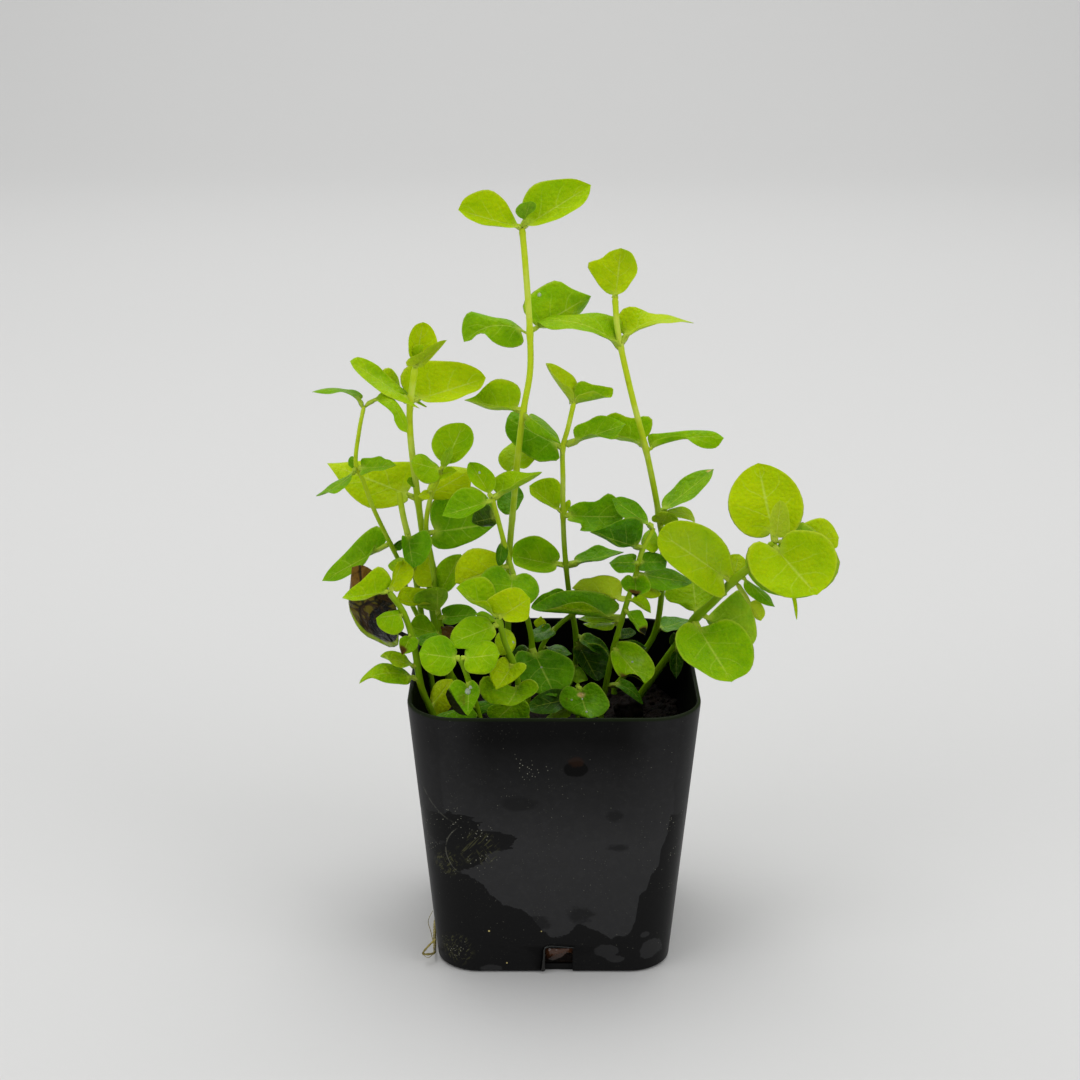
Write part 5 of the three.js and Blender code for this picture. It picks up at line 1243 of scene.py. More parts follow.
class Blades:
    """Collects leaf blades into one closed mesh each, with the values that their finish reads."""

    ROWS = 28
    STALK_ROWS = 4
    AROUND = 24
    STALK_RADIUS = 0.62
    THICKNESS = 0.34
    WIDEST = 0.42
    BASE_POWER, TIP_POWER = 2.0, 1.85
    FOOT = 0.3
    FLARE = 0.35
    RIPPLES = ((1.0, 9.0, 1.3, 1.0), (0.5, 17.0, -2.1, 2.0))
    RIB_HEIGHT, RIB_WIDTH = 0.9, 0.22
    STALK_TINT = 0.14
    MARK_REACH = 1.35

    @classmethod
    def spread(cls, station: np.ndarray) -> np.ndarray:
        """Breadth of an egg-shaped blade along its length, as a share of its greatest.

        Args:
            station: Places from 0 at the base to 1 at the tip.

        Returns:
            The breadths.
        """
        base = station < cls.WIDEST
        reach = np.where(base, cls.WIDEST, 1.0 - cls.WIDEST)
        power = np.where(base, cls.BASE_POWER, cls.TIP_POWER)
        inner = 1.0 - (np.abs(station - cls.WIDEST) / reach) ** power
        return np.clip(inner, 0.0, 1.0) ** (1.0 / power)

    @classmethod
    def edges(cls, leaf: Leaf, rib: Callable[[np.ndarray], np.ndarray], centre: np.ndarray, station: np.ndarray,
              width: np.ndarray, widest: tuple[np.ndarray, np.ndarray]) -> list[np.ndarray]:
        """Offsets of both edges from the midrib, row by row.

        Args:
            leaf: The leaf; where it has sides, the edges follow them in the view.
            rib: The midrib.
            centre: Its point at each row.
            station: Each row's place along the blade, from 0 to 1.
            width: Each row's breadth, as a share of the greatest.
            widest: Offsets of the widest points.

        Returns:
            The first and the second edge's offsets.
        """
        along = centre[-1] - centre[0]
        offsets = []
        for number, reach in enumerate(widest):
            if not leaf.sides:
                back = along * leaf.lobe * ((1 - station) ** 2 * (station > 0))[:, None]
                offsets.append(reach * width[:, None] - back)
                continue
            spots = [*Sight.spot(rib(np.array(leaf.stalk))), *leaf.sides[number], *leaf.tip]
            seen = read_line(spline(np.array(spots, dtype=float).reshape(-1, 2)), station)
            depth = centre[:, 1] + reach[1] * cls.spread(station)
            edge = np.array([Sight.at_depth(spot, deep) for spot, deep in zip(seen, depth)])
            slim = reach / np.linalg.norm(reach) * cls.STALK_RADIUS
            offsets.append(np.where((station > 0)[:, None], edge - centre, slim))
        return offsets

    @classmethod
    def blade(cls, leaf: Leaf, path: "StemPath", seed: float) -> dict[str, Any]:
        """Builds one leaf.

        Args:
            leaf: Its readings.
            path: The stem that it grows from.
            seed: A number from 0 to 1 that varies its waves.

        Returns:
            Points in millimetres, faces, the UV, Look and Marks values of each point, and the upward normal.
        """
        foot = path.nearest(leaf.foot)
        tip = Sight.at_distance(leaf.tip, foot + (0.0, leaf.push, 0.0), leaf.length, leaf.leans[0])
        chord = (foot + tip) / 2.0
        bend = Sight.at_depth(leaf.via, chord[1] + leaf.push / 2.0) if leaf.via else chord
        control = bend * 2.0 - chord

        def rib(t: np.ndarray) -> np.ndarray:
            """Points of the midrib."""
            t = t[..., None]
            return foot * (1 - t) ** 2 + control * 2 * t * (1 - t) + tip * t ** 2

        middle = rib(np.array((1 + leaf.stalk) / 2))
        first = Sight.at_distance(leaf.first, middle, leaf.breadth / 2, leaf.leans[1]) - middle
        second = Sight.at_distance(leaf.second, middle, leaf.breadth / 2, leaf.leans[2]) - middle
        normal = np.cross(tip - foot, first - second)
        normal /= np.linalg.norm(normal) * (-1.0 if normal[2] < 0 else 1.0)
        stations = (1 - np.cos(np.linspace(0.0, math.pi, cls.ROWS - cls.STALK_ROWS + 1)[1:])) / 2
        stalk_t = np.linspace(0.0, leaf.stalk, cls.STALK_ROWS + 1)[:-1]
        t = np.concatenate([stalk_t, leaf.stalk + (1 - leaf.stalk) * stations])
        station = np.concatenate([np.zeros(cls.STALK_ROWS), stations])
        slim = cls.STALK_RADIUS * 2 / leaf.breadth
        width = cls.spread(station)
        width = np.where(station > cls.FOOT, width, np.maximum(width, slim))
        ring = np.arange(cls.AROUND) * 2 * math.pi / cls.AROUND
        across, face = np.cos(ring), np.sin(ring)
        centre = rib(t)
        stalk = cls.STALK_RADIUS * min(1.0, 0.55 + leaf.breadth / 20)
        flare = np.clip(1 - station / cls.FLARE, 0, 1)
        least = stalk * np.where(station > 0, flare, 1.25 - 0.25 * t / leaf.stalk)
        inner = slice(1, cls.ROWS)
        offsets = []
        for reach, edge in zip((first, second), cls.edges(leaf, rib, centre, station, width, (first, second))):
            short = np.linalg.norm(edge, axis=1) < least
            edge = np.where(short[:, None], reach / np.linalg.norm(reach) * least[:, None], edge)
            offsets.append(edge[inner][:, None, :])
        w, s = (share[inner][:, None, None] for share in (width, station))
        v, side = (share[None, :, None] for share in (across, face))
        lean, fold = (offsets[0] - offsets[1]) / 2, (offsets[0] + offsets[1]) / 2
        points = centre[inner][:, None, :] + lean * v + fold * v ** 2
        phase = seed * 2 * math.pi
        ripple = sum(size * np.sin(s * run + v * slant + turn * phase) for size, run, slant, turn in cls.RIPPLES)
        lift = leaf.breadth * w * (leaf.wave * ripple * v ** 2 + leaf.crease * (np.abs(v) - 0.5))
        thick = cls.THICKNESS * np.clip(1.4 - 0.6 * s, 0, 1) * np.sqrt(np.clip(1.02 - s ** 8, 0, 1))
        thick = thick + (2 * stalk - cls.THICKNESS) * np.exp(-s / 0.05)
        ridge = 1 + cls.RIB_HEIGHT * np.exp(-(v / cls.RIB_WIDTH) ** 2) * (side < 0)
        curl = leaf.length * leaf.curl
        points = points + normal * (lift + curl * s ** 3 + side * thick / 2 * ridge)
        verts, faces = loft(list(points), foot, tip + normal * curl)
        u = np.clip((t[inner] - leaf.stalk) / (1 - leaf.stalk), 0, 1)
        u = np.append(np.repeat(u, cls.AROUND), [0.0, 1.0])
        v = np.append(np.tile(across, cls.ROWS - 1), [0.0, 0.0])
        # The Look's first channel, tone plus light, is partly the leaf's own colour, partly painted light and
        # shade.
        look = np.tile([max(leaf.tone.value + leaf.light, 0.0), seed, 0.0, 1.0], (len(verts), 1))
        look[:, 2] = np.append(np.tile(face < -0.01, cls.ROWS - 1), [0.0, 0.0])
        tint = np.clip(1 - station[inner] / cls.STALK_TINT, 0, 1)
        look[:, 3] = np.append(np.repeat(tint, cls.AROUND), [1.0, 0.0])
        marks = np.zeros((len(verts), 4))
        for mark in leaf.marks:
            far = np.hypot((u - mark.at[0]) / mark.reach[0], (v - mark.at[1]) / mark.reach[1])
            channel = mark.kind.value
            shown = mark.strength * np.clip(cls.MARK_REACH - far, 0, 1)
            marks[:, channel] = np.maximum(marks[:, channel], shown)
        uv = np.stack([u, v * 0.5 + 0.5], 1)
        return {"verts": verts, "faces": faces, "uv": uv, "look": look, "marks": marks, "normal": normal}


@dataclass
class Dew:
    """Drops of water that lie on the leaves, gathered into one piece."""

    wardrobe: Wardrobe
    nearness: float = 0.2
    flat: float = 0.6
    drops: list[Piece] = field(default_factory=list)

    def lay(self, blade: dict[str, Any], column: float, row: float, radius: float) -> None:
        """Lays one drop on the face of a blade that the view shows.

        Args:
            blade: The blade's points and values.
            column: Where the view shows the drop.
            row: Its row in the view.
            radius: Its radius in millimetres.
        """
        points = blade["verts"]
        misses = [math.dist(Sight.spot(point), (column, row)) + self.nearness * point[1] for point in points]
        nearest = int(np.argmin(misses))
        up = Vector(blade["normal"] * (1.0 if blade["look"][nearest, 2] < 0.5 else -1.0))
        work = bmesh.new()
        bmesh.ops.create_icosphere(work, subdivisions=3, radius=radius * MM)
        turn = up.to_track_quat("Z", "Y")
        for vert in work.verts:
            vert.co = turn @ Vector((vert.co.x, vert.co.y, vert.co.z * self.flat)) + Vector(points[nearest] * MM)
        mesh = bpy.data.meshes.new("drop")
        work.to_mesh(mesh)
        work.free()
        mesh.shade_smooth()
        mesh.materials.append(self.wardrobe.water)
        self.drops.append(link("drop", mesh))

    def gather(self) -> None:
        """Joins the drops into one piece."""
        dew = join(*self.drops)
        dew.name = "dew"
        settle(dew, "young_leaf")


def mesh_piece(name: str, verts: np.ndarray, faces: Sequence[Face],
               *finishes: Material) -> Piece:
    """Makes a smooth piece from points in millimetres, turns its faces outwards and dresses it.

    Args:
        name: Its name.
        verts: Its points.
        faces: Its faces.
        finishes: Its materials.

    Returns:
        The piece.
    """
    mesh = bpy.data.meshes.new(name)
    mesh.from_pydata([tuple(v) for v in verts * MM], [], faces)
    work = bmesh.new()
    work.from_mesh(mesh)
    bmesh.ops.recalc_face_normals(work, faces=work.faces)
    work.to_mesh(mesh)
    work.free()
    for finish in finishes:
        mesh.materials.append(finish)
    mesh.shade_smooth()
    return link(name, mesh)


def blade_piece(name: str, blades: Sequence[dict[str, Any]], finish: Material) -> Piece:
    """Joins leaf blades into one piece with their UV map and attributes.

    Args:
        name: Its name.
        blades: What Blades.blade gives.
        finish: Its material.

    Returns:
        The piece.
    """
    faces: list[Face] = []
    base = 0
    for b in blades:
        faces += [tuple(i + base for i in face) for face in b["faces"]]
        base += len(b["verts"])
    gathered = {key: np.concatenate([b[key] for b in blades]) for key in ("verts", "uv", "look", "marks")}
    piece = mesh_piece(name, gathered["verts"], faces, finish)
    mesh = piece.data
    corners = np.zeros(len(mesh.loops), dtype=np.int32)
    mesh.loops.foreach_get("vertex_index", corners)
    layer = mesh.uv_layers.new(name="Blade")
    layer.data.foreach_set("uv", gathered["uv"][corners].astype(np.float32).ravel())
    for key in ("look", "marks"):
        attribute = mesh.attributes.new(key.title(), "FLOAT_COLOR", "POINT")
        attribute.data.foreach_set("color", gathered[key].astype(np.float32).ravel())
    return piece


class StemPath:
    """The curve of one stem, from its top into the soil, in millimetres."""

    SOIL = 45.3
    STEPS = 24
    LEAST_POINTS = 8
    BELOW = 1.6

    def __init__(self, shoot: Shoot) -> None:
        """Runs a spline through the shoot's readings."""
        points = [Sight.at_depth((column, row), depth) for column, row, depth in shoot.stem]
        self.points = spline(np.array([*points, (*shoot.root, self.SOIL)]), self.STEPS)

    def nearest(self, spot: Spot) -> np.ndarray:
        """The point of the stem that the view shows closest to a spot."""
        misses = [np.linalg.norm(p - Sight.at_depth(spot, p[1])) for p in self.points]
        return self.points[int(np.argmin(misses))]

    def even(self, step: float) -> np.ndarray:
        """Points a step apart, and one a little below the soil's face.

        Args:
            step: Millimetres between two points.

        Returns:
            The points.
        """
        count = max(self.LEAST_POINTS, int(lengths_along(self.points)[-1] / step))
        even = read_line(self.points, np.linspace(0, 1, count))
        return np.concatenate([even, even[-1:] - (0.0, 0.0, self.BELOW)])


class GrowthTree(Nodes):
    """A Geometry Nodes tree under construction."""

    def __init__(self, name: str, **inputs: str) -> None:
        """Starts a tree with a Geometry input and others, given by name, with underscores, and kind.

        Args:
            name: The tree's name.
            inputs: The further inputs.
        """
        super().__init__(bpy.data.node_groups.new(name, "GeometryNodeTree"))
        face = self.tree.interface
        for label, kind in {"Geometry": "Geometry", **inputs}.items():
            face.new_socket(label.replace("_", " "), in_out="INPUT", socket_type="NodeSocket" + kind)
        face.new_socket("Geometry", in_out="OUTPUT", socket_type="NodeSocketGeometry")
        self.start = self.tree.nodes.new("NodeGroupInput")
        self.end = self.tree.nodes.new("NodeGroupOutput")

    def given(self, label: str) -> Wire:
        """One of the tree's inputs."""
        return Wire(self, self.start.outputs[label])

    def close(self, geometry: Wire, material: Wire) -> bpy.types.NodeTree:
        """Ends the tree in Realize Instances and Set Material.

        Args:
            geometry: What it made.
            material: What dresses it.

        Returns:
            The tree.
        """
        real = self.node("GeometryNodeRealizeInstances", {"Geometry": geometry})
        dressed = self.node("GeometryNodeSetMaterial", {"Geometry": real, "Material": material})
        self.fill(self.end, "Geometry", dressed)
        return self.tree


def grow(source: Piece, tree: bpy.types.NodeTree, values: dict[str, Any], name: str) -> Piece:
    """Runs a tree on an object and keeps the result as a plain mesh piece.

    Args:
        source: The object that carries the modifier; it is removed afterwards.
        tree: The Geometry Nodes tree.
        values: The tree's inputs by name.
        name: Name of the new piece.

    Returns:
        The new piece.
    """
    modifier = source.modifiers.new("grow", "NODES")
    modifier.node_group = tree
    for item in tree.interface.items_tree:
        if item.item_type == "SOCKET" and item.in_out == "INPUT" and item.name in values:
            modifier[item.identifier] = values[item.name]
    mesh = evaluated(source)
    source.modifiers.remove(modifier)
    bpy.data.objects.remove(source)
    mesh.shade_smooth()
    return link(name, mesh)


def tube_tree() -> bpy.types.NodeTree:
    """The tree that sweeps a round section along a curve, from one radius to another.

    Returns:
        The tree.
    """
    t = GrowthTree("tube_sweep", Top_Radius="Float", Base_Radius="Float", Sides="Int", Finish="Material")
    ends = {"Value": t.node("GeometryNodeSplineParameter", result="Factor"), "To Min": t.given("Top Radius"),
            "To Max": t.given("Base Radius")}
    radius = t.node("ShaderNodeMapRange", ends, "Result") * t.node("GeometryNodeInputRadius")
    thin = t.node("GeometryNodeSetCurveRadius", {"Curve": t.given("Geometry"), "Radius": radius})
    sockets = {"Resolution": t.given("Sides"), "Radius": 1.0}
    ring = t.node("GeometryNodeCurvePrimitiveCircle", sockets, "Curve", mode="RADIUS")
    sockets = {"Curve": thin, "Profile Curve": ring, "Fill Caps": True, "Scale": t.node("GeometryNodeInputRadius")}
    return t.close(t.node("GeometryNodeCurveToMesh", sockets), t.given("Finish"))


def sweep(name: str, points: np.ndarray, weights: np.ndarray, radii: Spot, sides: int,
          finish: Material) -> Piece:
    """Sweeps a round section along a line.

    Args:
        name: Name of the new piece.
        points: The line in millimetres.
        weights: What the radius is multiplied by at each point.
        radii: The radius at the line's start and at its end, in millimetres.
        sides: Corners of the section.
        finish: The material.

    Returns:
        The new piece.
    """
    curve = bpy.data.curves.new(name + "_line", "CURVE")
    curve.dimensions = "3D"
    line = curve.splines.new("POLY")
    line.points.add(len(points) - 1)
    for knot, point, weight in zip(line.points, points * MM, weights):
        knot.co = (*point, 1.0)
        knot.radius = weight
    tree = bpy.data.node_groups.get("tube_sweep") or tube_tree()
    values = {"Top Radius": radii[0] * MM, "Base Radius": radii[1] * MM, "Sides": sides, "Finish": finish}
    return grow(link(curve.name, curve), tree, values, name)


def join(base: Piece, *others: Piece) -> Piece:
    """Joins pieces into the first one.

    Args:
        base: The piece that stays.
        others: Those that go into it.

    Returns:
        The first piece.
    """
    chosen = [base, *others]
    with bpy.context.temp_override(active_object=base, object=base, selected_objects=chosen,
                                   selected_editable_objects=chosen):
        bpy.ops.object.join()
    return base


def settle(piece: Piece, slot: str, *nodes: str) -> Piece:
    """Puts a finished piece on the root body and hides the nodes of the pack that it stands for.

    Args:
        piece: The piece.
        slot: Its slot; not used.
        nodes: The nodes of the pack that it stands for.

    Returns:
        The piece.
    """
    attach(piece, "root")
    if nodes:
        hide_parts(*nodes)
    log.info("%s: %d faces", piece.name, len(piece.data.polygons))
    return piece


@dataclass
class Plant:
    """All shoots of the plant: fifteen stems with their leaves."""

    wardrobe: Wardrobe
    stem_step: float = 0.9
    stem_sides: int = 12
    knuckle: float = 0.16
    knuckle_reach: float = 0.9
    tip_weight: float = 0.8
    seed_steps: tuple[float, float, float] = (0.618, 0.37, 0.11)

    def slot_of(self, leaf: Leaf) -> str:
        """The record's material slot that suits a leaf.

        Args:
            leaf: The leaf.

        Returns:
            The slot.
        """
        if leaf.tone is DEAD:
            return "dead_leaf"
        if leaf.tone.value >= SPRING.value:
            return "young_leaf"
        return "green_leaf" if leaf.tone.value >= GREEN.value else "dark_leaf"

    def stem(self, shoot: Shoot, path: StemPath) -> Piece:
        """Sweeps one stem, thicker where leaves join it.

        Args:
            shoot: The shoot.
            path: Its curve.

        Returns:
            The stem.
        """
        points = path.even(self.stem_step)
        weights = np.ones(len(points))
        for leaf in shoot.leaves:
            gap = np.linalg.norm(points - path.nearest(leaf.foot), axis=1)
            weights += self.knuckle * leaf.breadth / 10.0 * np.exp(-(gap / self.knuckle_reach) ** 2)
        weights = np.clip(weights, 1.0, 1.0 + 1.3 * self.knuckle)
        weights[0] = self.tip_weight
        return sweep(shoot.name + "_shoot", points, weights, shoot.radii, self.stem_sides, self.wardrobe.stem)

    def build(self) -> None:
        """Builds every shoot as one piece, and every larger leaf as a piece of its own."""
        dew = Dew(self.wardrobe)
        for shoot in SHOOTS:
            path = StemPath(shoot)
            stem = self.stem(shoot, path)
            fused = []
            for number, leaf in enumerate(shoot.leaves, 1):
                seed = float(np.dot(self.seed_steps, (number, len(shoot.name), shoot.root[0]))) % 1.0
                blade = Blades.blade(leaf, path, seed)
                for drop in leaf.drops:
                    dew.lay(blade, *drop)
                if not leaf.own:
                    fused.append(blade)
                    continue
                node = f"{shoot.name}_leaf_{number}"
                finish = self.wardrobe.withered if leaf.tone is DEAD else self.wardrobe.leaf
                settle(blade_piece(node + "_blade", [blade], finish), self.slot_of(leaf), node)
            if fused:
                join(stem, blade_piece(shoot.name + "_sprigs", fused, self.wardrobe.leaf))
            settle(stem, "stem", shoot.name + "_stem")
        dew.gather()


@dataclass
class Tub:
    """The square pot: a tapered wall with a rounded lip, a floor, and a notch at the foot of each side."""

    wardrobe: Wardrobe
    height: float = 60.0
    rim_width: float = 60.5
    base_width: float = 49.5
    base_corner: float = 9.0
    wall: float = 0.9
    floor: float = 1.2
    lip_radius: float = 0.42
    notch_width: float = 5.8
    notch_height: float = 5.8
    notch_shift: float = 1.1
    notch_depth: float = 3.0
    corner_steps: int = 12
    lip_steps: int = 8
    lip_reach: float = 1.2
    foot: tuple[Spot, ...] = ((0.0, 0.6), (0.05, 0.3), (0.3, 0.04), (0.7, 0.0))
    film_depths: Spot = (-0.55, -0.35)

    def half(self, z: float) -> float:
        """Half the outer width at a height."""
        return (self.base_width + (self.rim_width - self.base_width) * z / self.height) / 2

    def loop(self, z: float, inset: float) -> np.ndarray:
        """Points of the rounded square at a height, taken in by an inset, counter-clockwise from above.

        Args:
            z: The height.
            inset: Millimetres inward from the outer face.

        Returns:
            The points.
        """
        half = self.half(z) - inset
        corner = max(self.base_corner * self.half(z) / self.half(0.0) - inset, 0.4)
        middle = half - corner
        points = []
        sides = ((1, 1, 0.0), (-1, 1, 0.5), (-1, -1, 1.0), (1, -1, 1.5))
        for sx, sy, turn in sides:
            for k in range(self.corner_steps + 1):
                angle = math.pi * (turn + 0.5 * k / self.corner_steps)
                points.append((sx * middle + corner * math.cos(angle), sy * middle + corner * math.sin(angle), z))
        return np.array(points)

    def profile(self) -> list[Spot]:
        """Heights and insets from the middle of the underside, up the outside, over the lip and down inside.

        Returns:
            The heights and insets.
        """
        shoulder, top = self.height - self.lip_reach, self.height - self.lip_radius
        rows = [*self.foot, *((z, 0.0) for z in np.linspace(3.0, shoulder, 14))]
        for angle in np.linspace(0.0, math.pi, self.lip_steps + 1):
            rows.append((top + self.lip_radius * math.sin(angle), self.wall / 2 * (1 - math.cos(angle))))
        rows += [(z, self.wall) for z in np.linspace(shoulder, self.floor + 0.4, 10)]
        return [*rows, (self.floor, self.wall + 0.5)]

    def build(self) -> None:
        """Lofts the wall, closes the floor on both faces, cuts the notches and lays the film."""
        rows = self.profile()
        loops = [self.loop(z, inset) for z, inset in rows]
        verts, faces = loft(loops, (0.0, 0.0, 0.0), (0.0, 0.0, self.floor))
        inside = (i for i, (z, inset) in enumerate(rows) if inset > self.wall * 0.8 and z > self.height / 2)
        inner = next(inside) * len(loops[0])
        pot = mesh_piece("pot_shell", verts, faces, self.wardrobe.plastic, self.wardrobe.inside)
        # The inner faces above the floor get the painted-shade finish.
        for polygon in pot.data.polygons:
            polygon.material_index = int(polygon.index >= inner and polygon.center.z > self.floor * MM)
        for side in range(4):
            self.cut(pot, side)
        settle(pot, "black_plastic", "pot")
        self.film()

    def face(self, x: float, z: float, proud: float) -> tuple[float, float, float]:
        """A point on the front, or so many millimetres proud of it."""
        return (x, -(self.half(z) + proud), z)

    def film(self) -> None:
        """Lays the dried film across the top of the front notch, and the drip that hangs at its left."""
        left, right = self.notch_shift - self.notch_width / 2, self.notch_shift + self.notch_width / 2
        lows = [(left, 3.1), (left + 1.6, 2.6), (left + 3.4, 3.4), (right - 1.2, 4.6), (right, 4.4)]
        verts = []
        for depth in self.film_depths:
            verts += [self.face(x, z, depth) for x, z in lows]
            verts += [self.face(x, self.notch_height, depth) for x, _ in reversed(lows)]
        n = len(verts) // 2
        faces = [tuple(range(n)), tuple(range(2 * n - 1, n - 1, -1))]
        faces += [(i, i + n, (i + 1) % n + n, (i + 1) % n) for i in range(n)]
        sheet = mesh_piece("film_sheet", np.array(verts), faces, self.wardrobe.film)
        run = [(right + 0.3, 6.0, 0.05), (left + 0.1, 6.1, 0.1), (left - 0.25, 4.0, 0.12), (left - 0.4, 1.6, 0.15),
               (left - 0.5, 0.45, 0.3)]
        knots = spline(np.array([self.face(x, z, proud) for x, z, proud in run]))
        share = np.linspace(0, 1, 40)
        weights = 0.35 + 0.65 * share ** 2
        drip = sweep("notch_film", read_line(knots, share), weights, (0.3, 0.42), 10, self.wardrobe.drip)
        settle(join(drip, sheet), "black_plastic")

    def cut(self, pot: Piece, side: int) -> None:
        """Cuts one drain notch.

        Args:
            pot: The pot.
            side: Which side, counted from the front.
        """
        work = bmesh.new()
        bmesh.ops.create_cube(work, size=1.0)
        for vert in work.verts:
            x = vert.co.x * self.notch_width + self.notch_shift
            y = vert.co.y * self.notch_depth - self.half(0.0) - self.wall / 2
            z = vert.co.z * self.notch_height * 2
            for _ in range(side):
                x, y = -y, x
            vert.co = Vector((x, y, z)) * MM
        bmesh.ops.recalc_face_normals(work, faces=work.faces)
        mesh = bpy.data.meshes.new("notch")
        work.to_mesh(mesh)
        work.free()
        cutter = link("notch", mesh)
        modifier = pot.modifiers.new("notch", "BOOLEAN")
        modifier.operation = "DIFFERENCE"
        modifier.solver = "EXACT"
        modifier.object = cutter
        opened = evaluated(pot)
        pot.modifiers.remove(modifier)
        pot.data = opened
        bpy.data.objects.remove(cutter)


@dataclass
class Earth:
    """The soil in the pot, with crumbs on its face."""

    wardrobe: Wardrobe
    tub: Tub
    level: float = 45.0
    gap: float = 0.5
    lift: float = 0.3
    swell: float = 0.9
    grain: float = 0.175
    rings: int = 26
    density: float = 234000.0
    least_crumb: float = 0.25
    most_crumb: float = 1.0

    def height(self, x: np.ndarray, y: np.ndarray) -> np.ndarray:
        """Height of the soil's face.

        Args:
            x: Places across.
            y: Places in depth.

        Returns:
            The heights.
        """
        waves = np.sin(0.31 * x + 1.3) * np.cos(0.27 * y) + 0.5 * np.sin(0.6 * x - 0.5 * y)
        fine = np.sin(1.9 * x + 0.7 * y) * np.sin(1.6 * y - 0.4 * x + 1.0)
        return self.level + self.swell * (waves / 1.5 - 1.0) + self.grain * fine

    def build(self) -> None:
        """Builds the block of soil, then scatters crumbs over it."""
        low = self.tub.floor + self.lift
        stack = [(low, share) for share in np.linspace(0.1, 1.0, 6)]
        stack += [(z, 1.0) for z in np.linspace(low + 2.0, self.level - 1.5, 14)]
        stack += [(self.level, 1 - k / self.rings) for k in range(self.rings)]
        loops = [self.tub.loop(z, self.tub.wall + self.gap) * (share, share, 1.0) for z, share in stack]
        for loop in loops[-self.rings:]:
            loop[:, 2] = self.height(loop[:, 0], loop[:, 1])
        middle = np.zeros(1)
        verts, faces = loft(loops, (0.0, 0.0, low), (0.0, 0.0, self.height(middle, middle)[0]))
        block = mesh_piece("soil_block", verts, faces, self.wardrobe.soil)
        join(block, self.scatter(block), self.clod())
        settle(block, "wet_soil", "soil")

    def clod(self) -> Piece:
        """A clod of soil that stands up in front of the outer shoot, with ridges round it.

        Returns:
            The clod.
        """
        middle, reach = np.array([16.9, 8.6, 46.2]), np.array([3.1, 2.4, 3.2])
        turns, rows = 32, 18
        around = np.arange(turns) * 2 * math.pi / turns
        down = np.pi * np.arange(1, rows) / rows
        rings = [[(math.sin(a) * math.cos(b), math.sin(a) * math.sin(b), math.cos(a)) for b in around]
                 for a in down]
        ball, faces = loft(np.array(rings), (0, 0, 1), (0, 0, -1))
        x, y, z = ball.T
        rough = 1 + 0.16 * np.sin(5.0 * x + 3.0 * z) * np.cos(4.0 * y - 2.0 * z)
        rough += 0.07 * np.sin(13.0 * x - 9.0 * y + 7.0 * z)
        return mesh_piece("soil_clod", middle + ball * reach * rough[:, None], faces, self.wardrobe.soil)

    def scatter(self, block: Piece) -> Piece:
        """Scatters turned, uneven crumbs on the soil's top face.

        Args:
            block: The soil.

        Returns:
            The crumbs.
        """
        t = GrowthTree("crumb_scatter", Density="Float", Least_Size="Float", Most_Size="Float", Finish="Material")
        rise = t.node("ShaderNodeSeparateXYZ", {0: t.node("GeometryNodeInputNormal")}, 2)
        top = t.node("FunctionNodeCompare", {0: rise, 1: 0.5}, data_type="FLOAT", operation="GREATER_THAN")
        sockets = {"Mesh": t.given("Geometry"), "Selection": top, "Density": t.given("Density"), "Seed": 7}
        points = t.node("GeometryNodeDistributePointsOnFaces", sockets, distribute_method="RANDOM")
        lump = t.node("GeometryNodeMeshIcoSphere", {"Radius": 1.0, "Subdivisions": 2})
        place = t.node("GeometryNodeInputPosition")
        rough = t.node("ShaderNodeTexNoise", {"Vector": place, "Scale": 1.3}, "Color")
        offset = t.node("ShaderNodeVectorMath", {0: rough, 1: (0.5, 0.5, 0.5)}, operation="SUBTRACT")
        uneven = t.node("GeometryNodeSetPosition", {"Geometry": lump, "Offset": offset})
        sockets = {"Min": (0.0, 0.0, 0.0), "Max": (6.28, 6.28, 6.28), "Seed": 11}
        turn = t.node("FunctionNodeRandomValue", sockets, "Value", data_type="FLOAT_VECTOR")
        sockets = {2: t.given("Least Size"), 3: t.given("Most Size"), "Seed": 13}
        size = t.node("FunctionNodeRandomValue", sockets, 1, data_type="FLOAT")
        sockets = {"Points": points, "Instance": uneven, "Rotation": turn, "Scale": size}
        copies = t.node("GeometryNodeInstanceOnPoints", sockets)
        tree = t.close(copies, t.given("Finish"))
        values = {"Density": self.density, "Least Size": self.least_crumb * MM, "Most Size": self.most_crumb * MM,
                  "Finish": self.wardrobe.soil}
        return grow(link("crumb_bed", block.data.copy()), tree, values, "soil_crumbs")


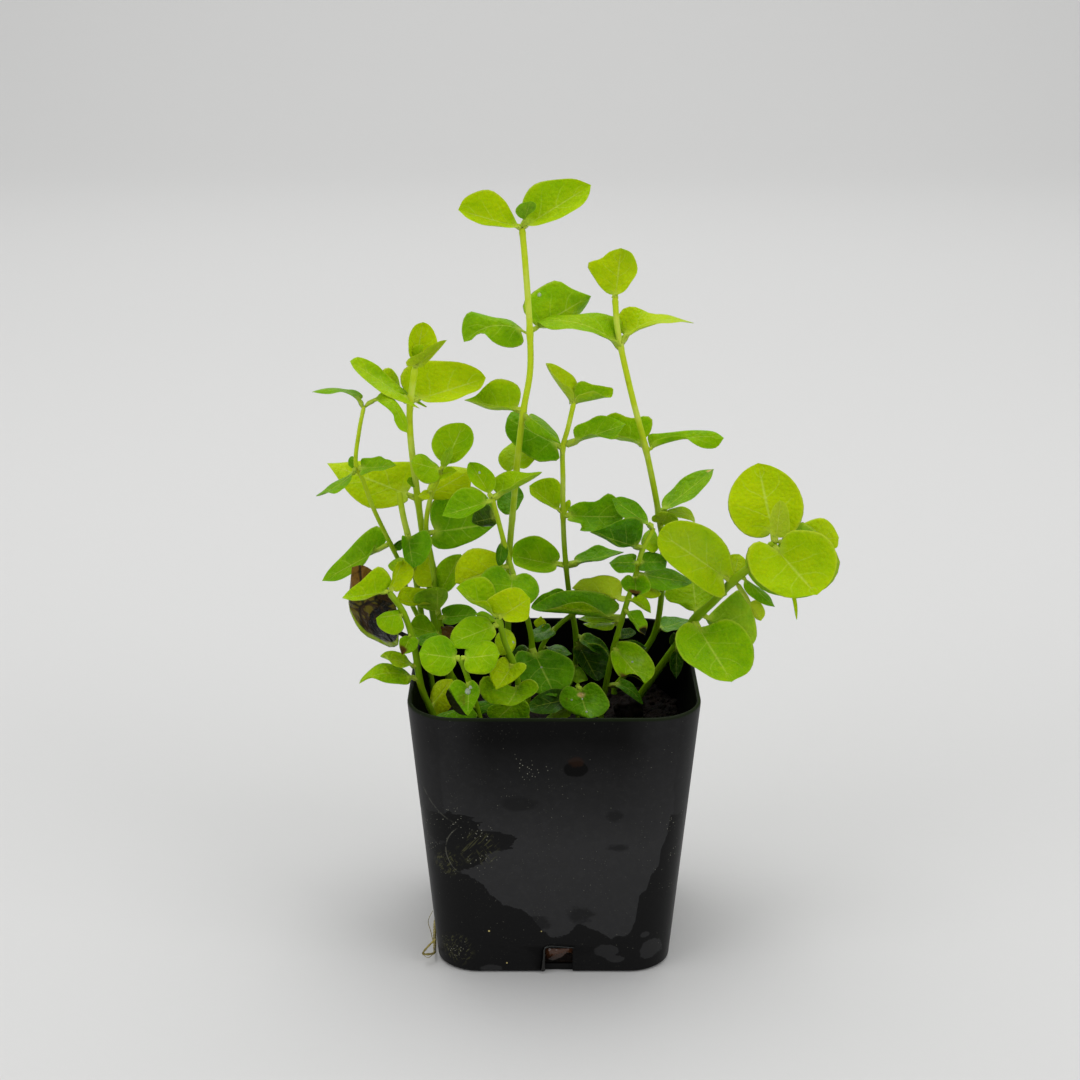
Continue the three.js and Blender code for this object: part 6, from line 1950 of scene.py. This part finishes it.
@dataclass
class CreptRoot:
    """The root that has crept out of the left notch, with finer hairs beside it."""

    wardrobe: Wardrobe
    tub: Tub
    radii: Spot = (0.4, 0.2)
    hair_radii: Spot = (0.09, 0.05)
    bumps: float = 0.18

    def build(self) -> None:
        """Sweeps the main loop and its hairs."""
        main = ((0.6, 0, 3), (-1.0, -2, 1.2), (-1.2, -9, 0.7), (-0.9, -16, 0.9), (-1.0, -19.6, 1.5),
                (-3.1, -20.6, 2.0), (-2.2, -20.8, 3.6), (-0.35, -20.4, 5.4))
        hairs = (((-0.9, -20.4, 4.6), (-1.4, -20.6, 7.4), (-1.9, -20.4, 9.6), (-0.9, -20.2, 12.0)),
                 ((-0.8, -19.8, 1.7), (-1.9, -20.4, 1.0), (-2.6, -20.8, 1.4), (-3.0, -20.8, 1.9)))
        pieces = [self.grown("root_main", main, self.radii)]
        pieces += [self.grown(f"root_hair_{k}", hair, self.hair_radii) for k, hair in enumerate(hairs, 1)]
        settle(join(*pieces), "root", "root_loop")

    def grown(self, name: str, knots: Sequence[Sequence[float]], radii: Spot) -> Piece:
        """Sweeps one root through knots that are given from the foot of the pot's left wall.

        Args:
            name: Its name.
            knots: The knots.
            radii: Its radius at either end.

        Returns:
            The root.
        """
        wall = (-self.tub.half(0.0), 0.0, 0.0)
        line = read_line(spline(np.array(knots) + wall), np.linspace(0, 1, 14 * len(knots)))
        weights = 1 + self.bumps * np.sin(np.arange(len(line)) * 1.3)
        return sweep(name, line, weights, radii, 8, self.wardrobe.root)


@dataclass
class Studio:
    """The camera, the pale seamless surface and the soft lights; sizes in metres, the sensor's in millimetres."""

    wardrobe: Wardrobe
    sensor: float = 36.0
    near: float = -3.0
    sweep: float = 1.2
    radius: float = 1.0
    tall: float = 4.0
    half_width: float = 4.0
    sink: float = 0.0002

    def camera(self) -> None:
        """Sets the camera at the front view."""
        data = bpy.data.cameras.new("front_view")
        data.sensor_width = self.sensor
        data.lens = Sight.FOCAL / Sight.FRAME * self.sensor
        data.dof.use_dof = False
        camera = link("front_view", data)
        camera.location = Sight.EYE * MM
        camera.rotation_euler = (math.pi / 2 - Sight.PITCH, 0.0, 0.0)
        bpy.context.scene.camera = camera

    def surface(self) -> None:
        """A floor that sweeps up into a backdrop far behind."""
        rows = [(self.near, 0.0), (self.sweep, 0.0)]
        rows += [(self.sweep + self.radius * math.sin(a), self.radius * (1.0 - math.cos(a)))
                 for a in np.linspace(0.1, math.pi / 2, 14)]
        rows += [(self.sweep + self.radius, self.tall)]
        verts = [(x, y, z - self.sink) for y, z in rows for x in (-self.half_width, self.half_width)]
        mesh = bpy.data.meshes.new("studio_floor")
        mesh.from_pydata(verts, [], [(2 * i, 2 * i + 1, 2 * i + 3, 2 * i + 2) for i in range(len(rows) - 1)])
        mesh.materials.append(self.wardrobe.table)
        mesh.shade_smooth()
        link(mesh.name, mesh)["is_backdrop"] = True

    def lamp(self, name: str, place: tuple[float, float, float], size: float, power: float,
             aim: tuple[float, float, float] = (0.0, 0.0, 0.08)) -> None:
        """One square soft light, aimed at the plant unless told otherwise.

        Args:
            name: Its name.
            place: Where it stands.
            size: The side of its square.
            power: Its power in watts.
            aim: The point that it faces.
        """
        data = bpy.data.lights.new(name, "AREA")
        data.shape = "SQUARE"
        data.size = size
        data.energy = power
        lamp = link(name, data)
        lamp.location = place
        lamp.rotation_euler = (Vector(aim) - Vector(place)).to_track_quat("-Z", "Y").to_euler()

    def build(self) -> None:
        """Builds the studio."""
        self.camera()
        self.surface()
        self.lamp("top_light", (0.0, 0.3, 1.25), 1.2, 9.5)
        self.lamp("left_light", (-1.0, -0.7, 0.7), 0.8, 3.6)
        self.lamp("right_light", (1.0, -0.7, 0.7), 0.8, 3.9)
        self.lamp("wall_light", (0.0, 0.7, 1.5), 1.0, 11.0, (0.0, 2.2, 0.9))
        world = bpy.data.worlds.new("studio_air")
        world.use_nodes = True
        air = world.node_tree.nodes["Background"]
        air.inputs["Color"].default_value = (1.0, 1.0, 1.0, 1.0)
        air.inputs["Strength"].default_value = 0.5
        bpy.context.scene.world = world
        bpy.context.scene.view_settings.view_transform = "Standard"


def corners() -> list[list[float]]:
    """The shown object's box as plain numbers."""
    return [[float(value) for value in corner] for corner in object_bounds()]


def main() -> None:
    """Builds the pot, the soil, the root, the plant and the studio."""
    logging.basicConfig(level=logging.INFO, format="%(message)s")
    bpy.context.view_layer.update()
    wardrobe = Wardrobe()
    tub = Tub(wardrobe)
    tub.build()
    Earth(wardrobe, tub).build()
    CreptRoot(wardrobe, tub).build()
    Plant(wardrobe).build()
    Studio(wardrobe).build()
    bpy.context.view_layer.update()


if __name__ == "__main__":
    main()
